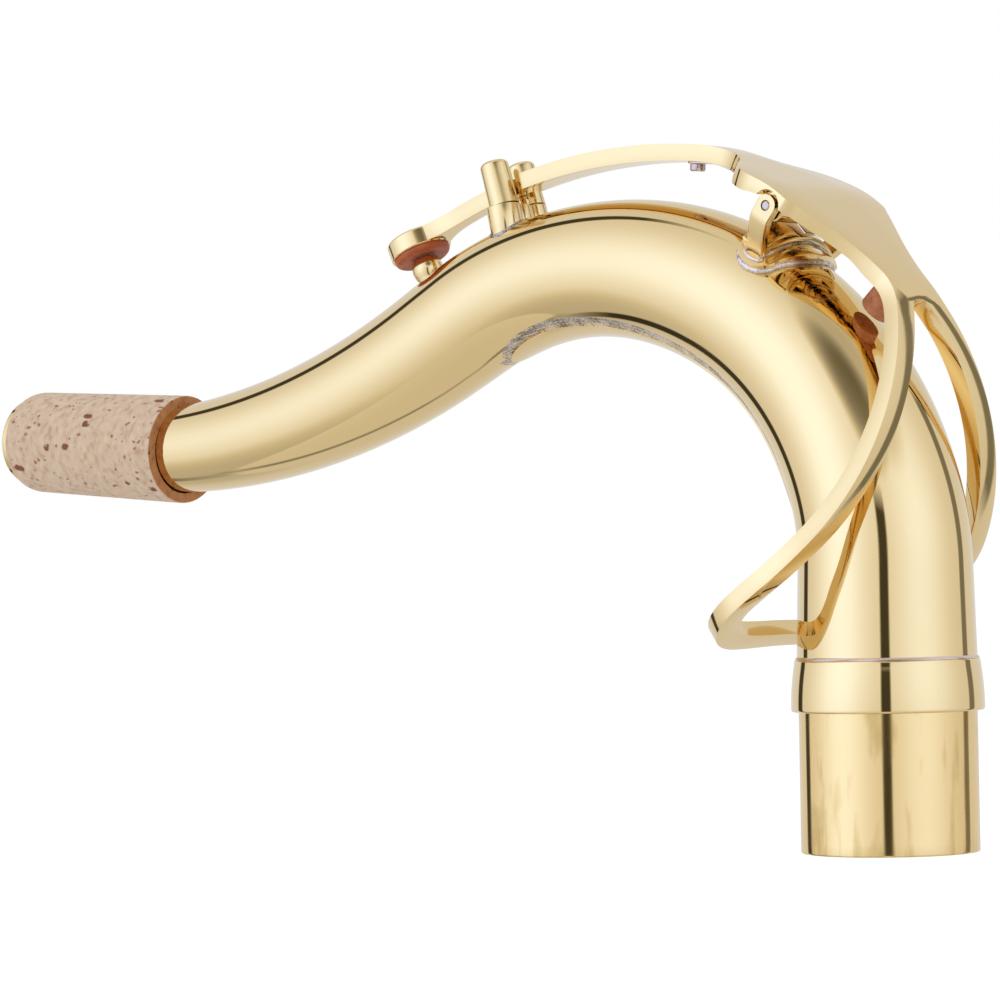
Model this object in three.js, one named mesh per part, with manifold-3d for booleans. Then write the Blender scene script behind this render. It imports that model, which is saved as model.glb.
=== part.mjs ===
// Tenor saxophone neck: a bent conical tube with its tenon, cork and octave key.
// Millimetres, +Z up. The origin is the centre of the tenon's lower face, the tube
// rises along +Z and bends over toward -X, and the octave key lies along its top.
import * as THREE from 'three';
import { mergeVertices } from 'three/addons/utils/BufferGeometryUtils.js';
import Module from 'manifold-3d';

const wasm = await Module();
wasm.setup();

// Shared clearances
const gap = 0.3;                  // between pieces that are soldered or pressed together
const runningFit = 0.15;          // between a pin and the bore that it turns in
const overrun = 2;                // how far a cutting body reaches past what it cuts
const seam = 0.05;                // how far two bodies that are one piece run into each other

// Tenon, the plug that goes into the saxophone's body
const tenonRadius = 13.75;
const tenonBoreRadius = 12.3;
const tenonLength = 21.7;
const tenonEdge = 0.25;
const spigotRadius = 12.9;
const spigotTop = 36;
const collarBottomRadius = 14.9;
const collarTopRadius = 14.3;
const collarHeight = 7.8;
const collarEdge = 0.3;

// Neck tube: a schedule of straight runs and bends of its middle line from the collar up
const tubeStart = tenonLength + gap + collarHeight + gap;
const straightToBend = 14.4;
const firstBend = { radius: 40.2, angle: 15.8 };
const crownBend = { radius: 49.8, angle: 46.9 };
const fallBend = { radius: 60.4, angle: 54.6 };
const fallStraight = 8.2;
const liftBend = { radius: 145.4, angle: -23 };
const corkBend = { radius: 50, angle: -8.1 };
const mouthStraight = 34.9;
const wall = 0.65;
const tubeRadiusBelow = 13.9;
const tubeRadiusAtCork = 7.56;
const tubeRadiusAtMouth = 6.9;
const taperBow = 2.05;            // how much fuller than a plain cone the tube is
const taperLean = 1.6;            // how much of that fullness lies toward the mouth
const crownBeforeFall = 23.4;     // where bending has drawn the tube in, how far along
const crownReach = 22.2;          // the tube that is felt, and by how much
const crownDip = 0.55;

// Cork and the brass ring at the mouth
const mouthRingLength = 1.2;
const mouthRingWall = 0.6;
const corkLength = 36.9;
const corkRadiusRear = 9.4;
const corkRadiusFront = 8.95;
const corkRound = 0.9;

// Brace soldered under the bend
const braceBeforeCrown = 5.6;     // from the brace's start to the crown's bend
const braceBeforeFall = 4.9;      // and from its end to the end of the falling bend
const braceThickness = 0.5;
const braceHalfAngle = 45;
const braceTip = 12;              // length over which each end draws in to its round tip
const braceTipShare = 0.12;       // width left at the very end

// Octave pip, the vent that the pad closes
const pipAfterFall = 5.4;
const pipTilt = -2.3;            // degrees toward the mouth from square to the tube
const pipHeight = 3.8;
const pipTopRadius = 2.3;
const pipBellyRadius = 2.6;
const pipFootRadius = 2.15;
const pipVentRadius = 0.7;
const pipLip = 0.4;

// Key guide: two posts on a lobed foot, with the key's arm between them
const guideBeforeFall = 13.3;
const guideTilt = -2;            // degrees toward the mouth from square to the tube
const postRadius = 2.35;
const postTopRadius = 2.15;
const postSpacing = 6.8;
const postHeight = 10.5;
const postRound = 1;
const postPinRadius = 1.1;
const postPinLength = 1.6;
const guideFootHeight = 2.9;
const guideLobeRadius = 2.8;
const guideMiddleRadius = 2.4;

// Octave key: one bent sheet, given by the side line of its outer face
const keyThickness = 2.68;
const armFrontStraight = 5.9;
const armBendAngle = -31.5;       // its radius is what puts the hinge over its place
const shoulderBend = { radius: 31.6, angle: -18.3 };
const plateStraight = 10.8;
const plateBend = { radius: 22.5, angle: -14 };
const plateFall = { radius: 144, angle: -7.3 };
const rootBend = { radius: 15.5, angle: -19.4 };
const ringBend = { radius: 35.2, angle: -80 };
const ringStraight = 16.7;
const armCupWidth = 9;            // the arm's width where it runs out into the cup
const armCupLength = 12;
const armCupShare = 0.42;         // how early along that length it draws in
const armFrontWidth = 3.1;
const armNeckReach = 3.2;         // how far the arm's narrow part reaches past the posts
const armWidth = 5.6;
const armStep = 0.7;
const shoulderBeforePlate = 5;    // these six are places from the front of the plate
const shoulderOnPlate = 10.6;
const cornerOnPlate = 17.2;
const waistOnPlate = 35;
const flareOnPlate = 38;          // where the ring's two sides begin to run apart
const noseOnPlate = 39.4;
const flareBeforeEnd = 20.7;      // and where they have reached the ring's full width
const plateHalfWidth = 13.1;
const cornerLength = 1.8;         // over which the plate's rear corners draw in
const cornerDepth = 1;
const waistHalfWidth = 5.4;
const waistRound = 3;
const flareRound = 6;
const ringHalfWidth = 26.2;
const ringCorner = 11.5;
const ringBarWidth = 4;
const ringNoseRadius = 2.5;

// Cup at the arm's front end, over the pip
const cupRadius = 5.2;
const cupHeight = 3;
const cupEdge = 0.5;
const cupOnLine = 1.2;            // the cup's middle, from the start of the key's line
const cupRise = 0.1;              // how far the cup's top stands over the arm's outer face

// Hinge under the plate
const hingeBeforeFall = 4.9;      // from the hinge's place over the tube to the falling bend
const hingeOnPlate = 14.65;
const hingeDepth = 3;             // the pin's middle under the key's outer face
const channelRadius = 2.5;
const barrelRadius = 2.1;
const rodRadius = 0.9;
const rodHeadRadius = 1.25;
const rodHeadLength = 0.9;
const rodSlotWidth = 0.4;
const rodSlotDepth = 0.45;

// Saddle soldered over the tube, its two ears carrying the hinge rod
const saddleShift = 0.6;          // how far it is from square under the hinge
const saddleLength = 8.2;
const saddleThickness = 1.2;
const saddleHalfAngle = 52;
const earSpacing = 26.2;          // over the outer faces of the two ears
const earThickness = 1.4;
const earWidth = 2.9;
const earHeadRadius = 1.8;
const earFootAngle = 40;
const earKneeOut = 12;            // the point toward which an ear bows, across
const earKneeUp = 14.2;           // and over the tube's middle line

// Pad in the cup and bumper under the plate
const padRadius = 4.85;
const padNeckRadius = 4.15;
const padShowing = 0.95;
const padInCup = 0.8;
const padRound = 0.7;
const bumperOnPlate = 35;
const bumperRadius = 2.7;
const bumperStroke = 1.35;        // from the bumper to the tube, which stops the key
const bumperEdge = 0.4;

// Flat spring and its screw
const springBeforePlate = 13.3;
const springWidth = 2.4;
const springThickness = 0.4;
const springRoot = 4.2;
const springFirst = { radius: 12, angle: -20 };
const springSecondRadius = 45;    // this bend goes on until the tip is over the saddle
const springTurnLimit = -60;
const springEnd = 3.4;
const springStroke = 0.45;        // from the tip to the saddle, taken up as the key swings
const screwInset = 1.7;
const screwHeadRadius = 1.25;
const screwHeadHeight = 1;
const screwShankRadius = 0.6;
const screwShankDepth = 1.9;
const screwSlotWidth = 0.55;
const screwSlotDepth = 0.55;

// Fineness of the round shapes
const turnSteps = 40;
const smallTurnSteps = 24;
const tubeSteps = 32;
const boreSteps = 20;
const arcSteps = 3;
const edgeSteps = 8;
const braceColumns = 8;
const bendStepAngle = 5.2;
const searchSteps = 2000;
const shoulderRiseShare = 0.6;    // how the arm's edges turn out into the plate's
const shoulderTopShare = 0.42;
const cornerShare = 0.25;         // how the plate's rear edges run from corner to waist
const cornerFallShare = 0.72;
const waistShare = 0.57;
const waistRiseShare = 0.12;
const noseStartShare = 0.93;      // of a half turn, so that the nose starts with some width

const lacquer = { color: 0xe6c98c, roughness: 0.08, metalness: 1 };
const bareBrass = { color: 0xd2b878, roughness: 0.3, metalness: 1 };
const steel = { color: 0xb9bcc2, roughness: 0.3, metalness: 1 };
const springSteel = { color: 0xd0d0d6, roughness: 0.15, metalness: 1 };
const cork = { color: 0xe0bf9c, roughness: 0.85, metalness: 0 };
const padSkin = { color: 0xa8512e, roughness: 0.6, metalness: 0 };
const bumperCork = { color: 0xb0735c, roughness: 0.85, metalness: 0 };

const group = new THREE.Group();
const radians = THREE.MathUtils.degToRad;
const degrees = THREE.MathUtils.radToDeg;
const lerp = THREE.MathUtils.lerp;
const quarter = Math.PI / 2;

// A geometry with only its positions left and equal corners merged
function merged(geometry) {
  const bare = new THREE.BufferGeometry();
  bare.setAttribute('position', geometry.getAttribute('position'));
  bare.setIndex(geometry.index);
  return mergeVertices(bare);
}

// A closed merged geometry as a solid, without the triangles that merging left flat
function solidOf(geometry) {
  const index = geometry.index.array;
  const triVerts = [];
  for (let i = 0; i < index.length; i += 3) {
    const [a, b, c] = index.slice(i, i + 3);
    if (a !== b && b !== c && c !== a) triVerts.push(a, b, c);
  }
  return new wasm.Manifold(new wasm.Mesh({
    numProp: 3,
    vertProperties: new Float32Array(geometry.getAttribute('position').array),
    triVerts: new Uint32Array(triVerts),
  }));
}

// A closed geometry as a solid, moved by a matrix where one is given
function solid(geometry, matrix = new THREE.Matrix4()) {
  return solidOf(merged(geometry)).transform(matrix.toArray());
}

// Adds a solid to the object as a named mesh with its own material
function add(name, shape, look) {
  const made = shape.getMesh();
  const geometry = new THREE.BufferGeometry();
  geometry.setAttribute('position', new THREE.BufferAttribute(made.vertProperties, made.numProp));
  geometry.setIndex(new THREE.BufferAttribute(made.triVerts, 1));
  geometry.computeVertexNormals();
  const mesh = new THREE.Mesh(geometry, new THREE.MeshStandardMaterial(look));
  mesh.name = name;
  group.add(mesh);
}

// Length of a bend along its line
function bendLength(bend) {
  return bend.radius * Math.abs(radians(bend.angle));
}

// A side line in the XZ plane, made of straight runs and bends. Headings are degrees
// from +X toward +Z, and a bend with a positive angle turns from +X toward +Z.
function sideLine(start, place, heading, runs) {
  const parts = [];
  let from = { x: start.x, z: start.z, heading: radians(heading), place };
  for (const run of runs) {
    const straight = typeof run === 'number';
    const part = { from, length: straight ? run : bendLength(run), turn: straight ? 0 : radians(run.angle) };
    parts.push(part);
    from = pointOn(part, part.length);
  }
  return { parts, start: place, end: from.place };
}

// The point of a run or bend at a distance from its start
function pointOn(part, distance) {
  const turned = (part.turn * distance) / part.length;
  const middle = part.from.heading + turned / 2;
  const chord = turned === 0 ? distance : (distance * Math.sin(turned / 2)) / (turned / 2);
  return {
    x: part.from.x + chord * Math.cos(middle),
    z: part.from.z + chord * Math.sin(middle),
    heading: part.from.heading + turned,
    place: part.from.place + distance,
  };
}

// The point of a side line at a place, its end runs carried on past the ends
function pointAt(line, place) {
  let found = line.parts[0];
  for (const part of line.parts) {
    if (place >= part.from.place) found = part;
  }
  return pointOn(found, place - found.from.place);
}

// The frame of a line at a place: x across, y out to the right of the line, z along it
function frameAt(line, place) {
  const point = pointAt(line, place);
  const along = new THREE.Vector3(Math.cos(point.heading), 0, Math.sin(point.heading));
  const out = new THREE.Vector3(along.z, 0, -along.x);
  const across = new THREE.Vector3().crossVectors(out, along);
  return new THREE.Matrix4().makeBasis(across, out, along).setPosition(point.x, 0, point.z);
}

// The frame of a line leant toward its end by an angle in degrees
function leaningFrame(line, place, tilt) {
  return frameAt(line, place).multiply(new THREE.Matrix4().makeRotationX(radians(tilt)));
}

// Places from one end to the other, close enough together on every bend between them. A
// cutting body takes a shift of half a step, so that its edges miss those of what it cuts.
function placesBetween(line, first, last, more = [], shiftShare = 0) {
  const found = [...more];
  for (const part of line.parts) {
    const count = Math.max(1, Math.ceil(Math.abs(part.turn) / radians(bendStepAngle)));
    for (let i = 0; i <= count; i += 1) found.push(part.from.place + (part.length * (i + shiftShare)) / count);
  }
  const inside = found.filter((place) => place > first + seam && place < last - seam);
  const sorted = inside.filter((place) => place > line.start && place < line.end).sort((a, b) => a - b);
  return [first, ...sorted.filter((place, i) => i === 0 || place - sorted[i - 1] > seam), last];
}

// Extrudes a shape and lays it along a side line. The shape's x and y become whatever
// layout gives for them at each place: how far across and how far out.
function sweep(shape, line, stations, layout, curveSegments = arcSteps) {
  const steps = stations.length - 1;
  const straight = new THREE.ExtrudeGeometry(shape, { depth: 1, steps, bevelEnabled: false, curveSegments });
  const geometry = merged(straight);
  const corners = geometry.getAttribute('position');
  const frames = stations.map((station) => frameAt(line, station));
  const corner = new THREE.Vector3();
  for (let i = 0; i < corners.count; i += 1) {
    const step = Math.round(corners.getZ(i) * steps);
    const [across, out] = layout(corners.getX(i), corners.getY(i), stations[step]);
    corner.set(across, out, 0).applyMatrix4(frames[step]);
    corners.setXYZ(i, corner.x, corner.y, corner.z);
  }
  return solidOf(geometry);
}

// The points of a path that a function draws with lines, arcs and curves
function drawn(draw, divisions = arcSteps) {
  const path = new THREE.Path();
  draw(path);
  return path.getPoints(divisions);
}

// A round geometry turned about the Y axis from the points of its profile
function turned(points, steps = turnSteps) {
  return new THREE.LatheGeometry(points, steps);
}

// A plain rod along Y between two heights
function rod(radius, low, high, steps = smallTurnSteps) {
  return new THREE.CylinderGeometry(radius, radius, high - low, steps).translate(0, (low + high) / 2, 0);
}

// A block between two corners
function block(low, high) {
  const size = new THREE.Vector3().subVectors(high, low);
  const middle = new THREE.Vector3().addVectors(low, high).divideScalar(2);
  return new THREE.BoxGeometry(size.x, size.y, size.z).translate(middle.x, middle.y, middle.z);
}

const turnedUp = new THREE.Matrix4().makeRotationX(quarter);

// The tube's middle line and its outer radius along it
const tubeLine = sideLine(new THREE.Vector3(0, 0, tubeStart), tubeStart, 90, [
  straightToBend, firstBend, crownBend, fallBend, fallStraight, liftBend, corkBend, mouthStraight,
]);
const tubeEnd = tubeLine.end;
const crownStart = tubeStart + straightToBend + bendLength(firstBend);
const fallStart = crownStart + bendLength(crownBend);
const fallEnd = fallStart + bendLength(fallBend);
const crownPlace = fallEnd - crownBeforeFall;
const braceStart = crownStart - braceBeforeCrown;
const braceEnd = fallEnd - braceBeforeFall;
const pipPlace = fallEnd + pipAfterFall;
const guidePlace = fallEnd - guideBeforeFall;
const hingePlace = fallStart - hingeBeforeFall;
const corkFront = tubeEnd - mouthRingLength - gap;
const corkRear = corkFront - corkLength;

function tubeRadius(place) {
  if (place > corkRear) {
    return lerp(tubeRadiusAtCork, tubeRadiusAtMouth, (place - corkRear) / (tubeEnd - corkRear));
  }
  const share = (place - tubeStart) / (corkRear - tubeStart);
  const fullness = (taperBow - taperLean * (1 - 2 * share)) * share * (1 - share);
  const dip = crownDip * Math.exp(-(((place - crownPlace) / crownReach) ** 2));
  return lerp(tubeRadiusBelow, tubeRadiusAtCork, share) + fullness - dip;
}

const unitCircle = new THREE.Shape().absarc(0, 0, 1, 0, Math.PI * 2);

// A round body along the tube, its radius the tube's own plus an allowance
function alongTube(allowance, first, last, steps = tubeSteps) {
  const radiusAt = (place) => tubeRadius(place) + allowance;
  const layout = (x, y, place) => [x * radiusAt(place), y * radiusAt(place)];
  return sweep(unitCircle, tubeLine, placesBetween(tubeLine, first, last), layout, steps / 2);
}

const pipFrame = leaningFrame(tubeLine, pipPlace, pipTilt);
const pipFoot = tubeRadius(pipPlace);

// Neck tube, open at both ends, with the vent hole under the pip
const ventHole = solid(rod(pipVentRadius, 0, pipFoot + overrun), pipFrame);
const neckTube = alongTube(0, tubeStart, tubeEnd)
  .subtract(alongTube(-wall, tubeStart - overrun, tubeEnd + overrun, boreSteps))
  .subtract(ventHole);
add('neck_tube', neckTube, lacquer);

// Tenon sleeve: its spigot reaches up inside the collar and the tube
const tenonProfile = drawn((path) => {
  path.moveTo(tenonBoreRadius, 0);
  path.lineTo(tenonRadius - tenonEdge, 0);
  path.lineTo(tenonRadius, tenonEdge);
  path.lineTo(tenonRadius, tenonLength);
  path.lineTo(spigotRadius, tenonLength);
  path.lineTo(spigotRadius, spigotTop - tenonEdge);
  path.lineTo(spigotRadius - tenonEdge, spigotTop);
  path.lineTo(tenonBoreRadius, spigotTop);
  path.lineTo(tenonBoreRadius, 0);
});
add('tenon_sleeve', solid(turned(tenonProfile), turnedUp), bareBrass);

// Collar between the tenon and the tube, flared toward its lower edge
const collarBottom = tenonLength + gap;
const collarTop = collarBottom + collarHeight;
const collarProfile = drawn((path) => {
  path.moveTo(spigotRadius + gap, collarBottom);
  path.lineTo(collarBottomRadius - collarEdge, collarBottom);
  path.lineTo(collarBottomRadius, collarBottom + collarEdge);
  path.quadraticCurveTo(
    collarBottomRadius, collarBottom + collarHeight / 2,
    collarTopRadius, collarTop - collarEdge,
  );
  path.lineTo(collarTopRadius - collarEdge, collarTop);
  path.lineTo(spigotRadius + gap, collarTop);
  path.lineTo(spigotRadius + gap, collarBottom);
});
add('tenon_collar', solid(turned(collarProfile), turnedUp), lacquer);

// Neck cork: a straight cone whose bore is the tube's outside plus the gap
const mouthFrame = frameAt(tubeLine, tubeEnd).multiply(turnedUp);
const corkProfile = drawn((path) => {
  path.moveTo(0, corkRear - tubeEnd);
  path.lineTo(corkRadiusRear, corkRear - tubeEnd);
  path.lineTo(corkRadiusFront, corkFront - tubeEnd - corkRound);
  path.absarc(corkRadiusFront - corkRound, corkFront - tubeEnd - corkRound, corkRound, 0, quarter);
  path.lineTo(0, corkFront - tubeEnd);
});
const corkBore = alongTube(gap, corkRear - overrun, tubeEnd + overrun);
add('neck_cork', solid(turned(corkProfile), mouthFrame).subtract(corkBore), cork);

// Brass ring around the tube's mouth
const mouthRingInner = tubeRadiusAtMouth + runningFit;
const mouthRingRadius = mouthRingInner + mouthRingWall;
const mouthRingProfile = drawn((path) => {
  path.moveTo(mouthRingInner, -mouthRingLength);
  path.lineTo(mouthRingRadius, -mouthRingLength);
  path.lineTo(mouthRingRadius, -mouthRingWall / 2);
  path.lineTo(mouthRingRadius - mouthRingWall / 2, 0);
  path.lineTo(mouthRingInner, 0);
  path.lineTo(mouthRingInner, -mouthRingLength);
});
add('mouth_ring', solid(turned(mouthRingProfile), mouthFrame), lacquer);

// Under-brace: a strip curved around the underside of the bend, round at both ends
const braceShape = new THREE.Shape();
braceShape.moveTo(-1, 0);
for (let i = 1; i <= braceColumns; i += 1) braceShape.lineTo((2 * i) / braceColumns - 1, 0);
for (let i = braceColumns; i >= 0; i -= 1) braceShape.lineTo((2 * i) / braceColumns - 1, 1);
const braceTipPlaces = [];
for (let i = 1; i < edgeSteps; i += 1) {
  const reach = braceTip * (1 - Math.cos((quarter * i) / edgeSteps));
  braceTipPlaces.push(braceStart + reach, braceEnd - reach);
}

function braceLayout(x, y, place) {
  const reach = Math.min(place - braceStart, braceEnd - place, braceTip) / braceTip;
  const share = Math.max(braceTipShare, Math.sqrt(1 - (1 - reach) ** 2));
  const angle = radians(braceHalfAngle) * share * x;
  const radius = tubeRadius(place) + gap + braceThickness * y;
  return [-Math.sin(angle) * radius, -Math.cos(angle) * radius];
}

const braceStations = placesBetween(tubeLine, braceStart, braceEnd, braceTipPlaces);
add('under_brace', sweep(braceShape, tubeLine, braceStations, braceLayout), lacquer);

// Octave pip, turned, with its foot cut to the tube and its vent right through
const pipTop = pipFoot + pipHeight;
const pipProfile = drawn((path) => {
  path.moveTo(pipVentRadius, pipFoot - pipFootRadius);
  path.lineTo(pipFootRadius, pipFoot - pipFootRadius);
  path.lineTo(pipFootRadius, pipFoot);
  path.quadraticCurveTo(pipBellyRadius, pipFoot + pipHeight / 2, pipTopRadius, pipTop - pipLip);
  path.lineTo(pipTopRadius - pipLip, pipTop);
  path.lineTo(pipVentRadius, pipTop);
  path.lineTo(pipVentRadius, pipFoot - pipFootRadius);
});
const tubeUnderPip = alongTube(gap, pipPlace - cupRadius, pipPlace + cupRadius);
add('octave_pip', solid(turned(pipProfile, smallTurnSteps), pipFrame).subtract(tubeUnderPip), lacquer);

// Key guide: a lobed foot cut to the tube, and two posts pinned into it
const guideFrame = leaningFrame(tubeLine, guidePlace, guideTilt);
const guideRadius = tubeRadius(guidePlace);
const guideFootTop = guideRadius + guideFootHeight;
const postSides = [-postSpacing / 2, postSpacing / 2];
let guideFoot = solid(rod(guideMiddleRadius, 0, guideFootTop));
for (const side of postSides) {
  const lobe = rod(guideLobeRadius, 0, guideFootTop).translate(side, 0, 0);
  guideFoot = guideFoot.add(solid(lobe));
}
for (const side of postSides) {
  const pinHole = rod(postPinRadius + runningFit, guideFootTop - postPinLength - gap, guideFootTop + overrun);
  guideFoot = guideFoot.subtract(solid(pinHole.translate(side, 0, 0)));
}
const tubeUnderGuide = alongTube(gap, guidePlace - postSpacing, guidePlace + postSpacing);
add('guide_foot', guideFoot.transform(guideFrame.toArray()).subtract(tubeUnderGuide), lacquer);

const postTop = guideRadius + postHeight;
const postProfile = drawn((path) => {
  path.moveTo(0, guideFootTop - postPinLength);
  path.lineTo(postPinRadius, guideFootTop - postPinLength);
  path.lineTo(postPinRadius, guideFootTop + gap);
  path.lineTo(postRadius, guideFootTop + gap);
  path.lineTo(postTopRadius, postTop - postRound);
  path.absarc(postTopRadius - postRound, postTop - postRound, postRound, 0, quarter);
  path.lineTo(0, postTop);
});
['guide_post_left', 'guide_post_right'].forEach((name, i) => {
  const post = turned(postProfile, smallTurnSteps).translate(postSides[i], 0, 0);
  add(name, solid(post, guideFrame), lacquer);
});

// The key's side line starts so that the cup's middle stands over the pip
const padBottom = pipTop + gap;
const cupBottom = padBottom + padShowing;
const cupTop = cupBottom + cupHeight;
const keyHeading = degrees(pointAt(tubeLine, pipPlace).heading) + pipTilt - 180;
const keyStart = new THREE.Vector3(0, cupTop - cupRise, cupOnLine).applyMatrix4(pipFrame);

// The key with a given radius of its arm's bend: its line, where its plate starts, its hinge
function keyWith(armRadius) {
  const armBend = { radius: armRadius, angle: armBendAngle };
  const line = sideLine(keyStart, 0, keyHeading, [
    armFrontStraight, armBend, shoulderBend, plateStraight, plateBend, plateFall,
    rootBend, ringBend, ringStraight,
  ]);
  const front = armFrontStraight + bendLength(armBend) + bendLength(shoulderBend);
  const pin = new THREE.Vector3(0, hingeDepth, 0).applyMatrix4(frameAt(line, front + hingeOnPlate));
  return { line, front, pin };
}

// How far past its place over the tube the hinge is, with a given radius of the arm's bend
function hingePast(armRadius) {
  return keyWith(armRadius).pin.applyMatrix4(frameAt(tubeLine, hingePlace).invert()).z;
}

// The hinge moves in proportion to that radius, so two trials tell which one is right
const trialRadius = fallBend.radius;
const pastPerRadius = (hingePast(trialRadius * 2) - hingePast(trialRadius)) / trialRadius;
const armRadius = trialRadius - hingePast(trialRadius) / pastPerRadius;
const { line: keyLine, front: plateFront, pin: hinge } = keyWith(armRadius);
const keyEnd = keyLine.end;

// The place on a line nearest to a point
function placeNearest(line, point) {
  let nearest = line.start;
  let least = Infinity;
  for (let i = 0; i <= searchSteps; i += 1) {
    const place = lerp(line.start, line.end, i / searchSteps);
    const here = pointAt(line, place);
    const away = Math.hypot(here.x - point.x, here.z - point.z);
    if (away < least) {
      least = away;
      nearest = place;
    }
  }
  return nearest;
}

// Half the key's width along its line: x is the place, y the half width
const postsOnLine = placeNearest(keyLine, new THREE.Vector3(0, postTop, 0).applyMatrix4(guideFrame));
const armNeckWidth = postSpacing - 2 * (postRadius + gap);
const [shoulderStart, shoulderEnd] = [plateFront - shoulderBeforePlate, plateFront + shoulderOnPlate];
const [cornerPlace, waistPlace] = [plateFront + cornerOnPlate, plateFront + waistOnPlate];
const [flareStart, flareEnd] = [plateFront + flareOnPlate, keyEnd - flareBeforeEnd];
const keyEdge = drawn((path) => {
  path.moveTo(0, armCupWidth / 2);
  path.bezierCurveTo(
    armCupLength * armCupShare, armCupWidth / 2,
    armCupLength * armCupShare, armFrontWidth / 2,
    armCupLength, armFrontWidth / 2,
  );
  path.lineTo(postsOnLine - armNeckReach - armStep, armFrontWidth / 2);
  path.lineTo(postsOnLine - armNeckReach, armNeckWidth / 2);
  path.lineTo(postsOnLine + armNeckReach, armNeckWidth / 2);
  path.lineTo(postsOnLine + armNeckReach + armStep, armWidth / 2);
  path.lineTo(shoulderStart, armWidth / 2);
  path.bezierCurveTo(
    lerp(shoulderStart, shoulderEnd, shoulderRiseShare), armWidth / 2,
    lerp(shoulderStart, shoulderEnd, shoulderTopShare), plateHalfWidth,
    shoulderEnd, plateHalfWidth,
  );
  const cornerEnd = cornerPlace + cornerLength;
  const cornerHalfWidth = plateHalfWidth - cornerDepth;
  path.quadraticCurveTo(cornerPlace, plateHalfWidth, cornerEnd, cornerHalfWidth);
  path.bezierCurveTo(
    lerp(cornerEnd, waistPlace, cornerShare), lerp(waistHalfWidth, cornerHalfWidth, cornerFallShare),
    lerp(cornerEnd, waistPlace, waistShare), lerp(waistHalfWidth, cornerHalfWidth, waistRiseShare),
    waistPlace, waistHalfWidth,
  );
  const flareSlope = (ringHalfWidth - waistHalfWidth) / (flareEnd - flareStart);
  const flareFoot = waistHalfWidth + waistRound * flareSlope;
  path.lineTo(flareStart - waistRound, waistHalfWidth);
  path.quadraticCurveTo(flareStart, waistHalfWidth, flareStart + waistRound, flareFoot);
  path.lineTo(flareEnd - flareRound, ringHalfWidth - flareRound * flareSlope);
  path.quadraticCurveTo(flareEnd, ringHalfWidth, flareEnd + flareRound, ringHalfWidth);
  path.lineTo(keyEnd - ringCorner, ringHalfWidth);
  path.absarc(keyEnd - ringCorner, ringHalfWidth - ringCorner, ringCorner, quarter, 0, true);
}, edgeSteps);

// An edge moved in toward the key's middle line by a width
function movedIn(edge, width) {
  return edge.map((point, i) => {
    const before = edge[Math.max(i - 1, 0)];
    const after = edge[Math.min(i + 1, edge.length - 1)];
    const slope = after.clone().sub(before).normalize();
    return new THREE.Vector2(point.x + slope.y * width, point.y - slope.x * width);
  });
}

// The ring's opening: a round nose under the plate, then the key's edge less the ring's bar
const noseMiddle = plateFront + noseOnPlate + ringNoseRadius;
const openingNose = drawn((path) => {
  path.absarc(noseMiddle, 0, ringNoseRadius, Math.PI * noseStartShare, quarter, true);
});
const openingSides = movedIn(keyEdge, ringBarWidth).filter((point) => point.x > noseMiddle + ringNoseRadius / 2);
const openingEdge = [...openingNose, ...openingSides];

// The half width of an edge at a place
function edgeAt(points, place) {
  const next = points.findIndex((point) => point.x >= place);
  if (next < 1) return next === 0 ? points[0].y : points[points.length - 1].y;
  const [from, to] = [points[next - 1], points[next]];
  return lerp(from.y, to.y, (place - from.x) / (to.x - from.x));
}

const sheetShape = new THREE.Shape([[-1, 0], [1, 0], [1, 1], [-1, 1]].map(([x, y]) => new THREE.Vector2(x, y)));

// A sheet along the key's line between two depths under its outer face
function keySheet(edge, low, high, shiftShare = 0) {
  const edgePlaces = edge.map((point) => point.x);
  const stations = placesBetween(keyLine, edge[0].x, edge[edge.length - 1].x, edgePlaces, shiftShare);
  return sweep(sheetShape, keyLine, stations, (x, y, place) => [x * edgeAt(edge, place), lerp(low, high, y)]);
}

const cupProfile = drawn((path) => {
  path.moveTo(0, cupBottom);
  path.lineTo(cupRadius, cupBottom);
  path.lineTo(cupRadius, cupTop - cupEdge);
  path.absarc(cupRadius - cupEdge, cupTop - cupEdge, cupEdge, 0, quarter);
  path.lineTo(0, cupTop);
});
const cup = solid(turned(cupProfile), pipFrame);
const cupHollow = solid(rod(padNeckRadius + gap, cupBottom - overrun, cupBottom + padInCup + gap, turnSteps), pipFrame);

// A rod along Y through the hinge's axis, between two places across
function hingeRod(radius, low, high) {
  return solid(rod(radius, low, high).translate(hinge.x, 0, hinge.z));
}

const springPlace = plateFront - springBeforePlate;
const springFrame = frameAt(keyLine, springPlace);
const screwHole = rod(
  screwShankRadius + runningFit,
  keyThickness - screwShankDepth - gap,
  keyThickness + gap + springThickness + overrun,
).translate(0, 0, screwInset);
const octaveKey = keySheet(keyEdge, 0, keyThickness)
  .subtract(keySheet(openingEdge, -overrun, keyThickness + overrun, 1 / 2))
  .add(cup)
  .subtract(cupHollow)
  .subtract(hingeRod(channelRadius, -plateHalfWidth - overrun, plateHalfWidth + overrun))
  .subtract(solid(screwHole, springFrame));
add('octave_key', octaveKey, lacquer);

// Pad, its rim showing under the cup
const padProfile = drawn((path) => {
  path.moveTo(0, padBottom);
  path.lineTo(padRadius - padRound, padBottom);
  path.absarc(padRadius - padRound, padBottom + padRound, padRound, -quarter, 0);
  path.lineTo(padRadius, cupBottom - gap);
  path.lineTo(padNeckRadius, cupBottom - gap);
  path.lineTo(padNeckRadius, cupBottom + padInCup);
  path.lineTo(0, cupBottom + padInCup);
});
add('octave_pad', solid(turned(padProfile), pipFrame), padSkin);

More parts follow.
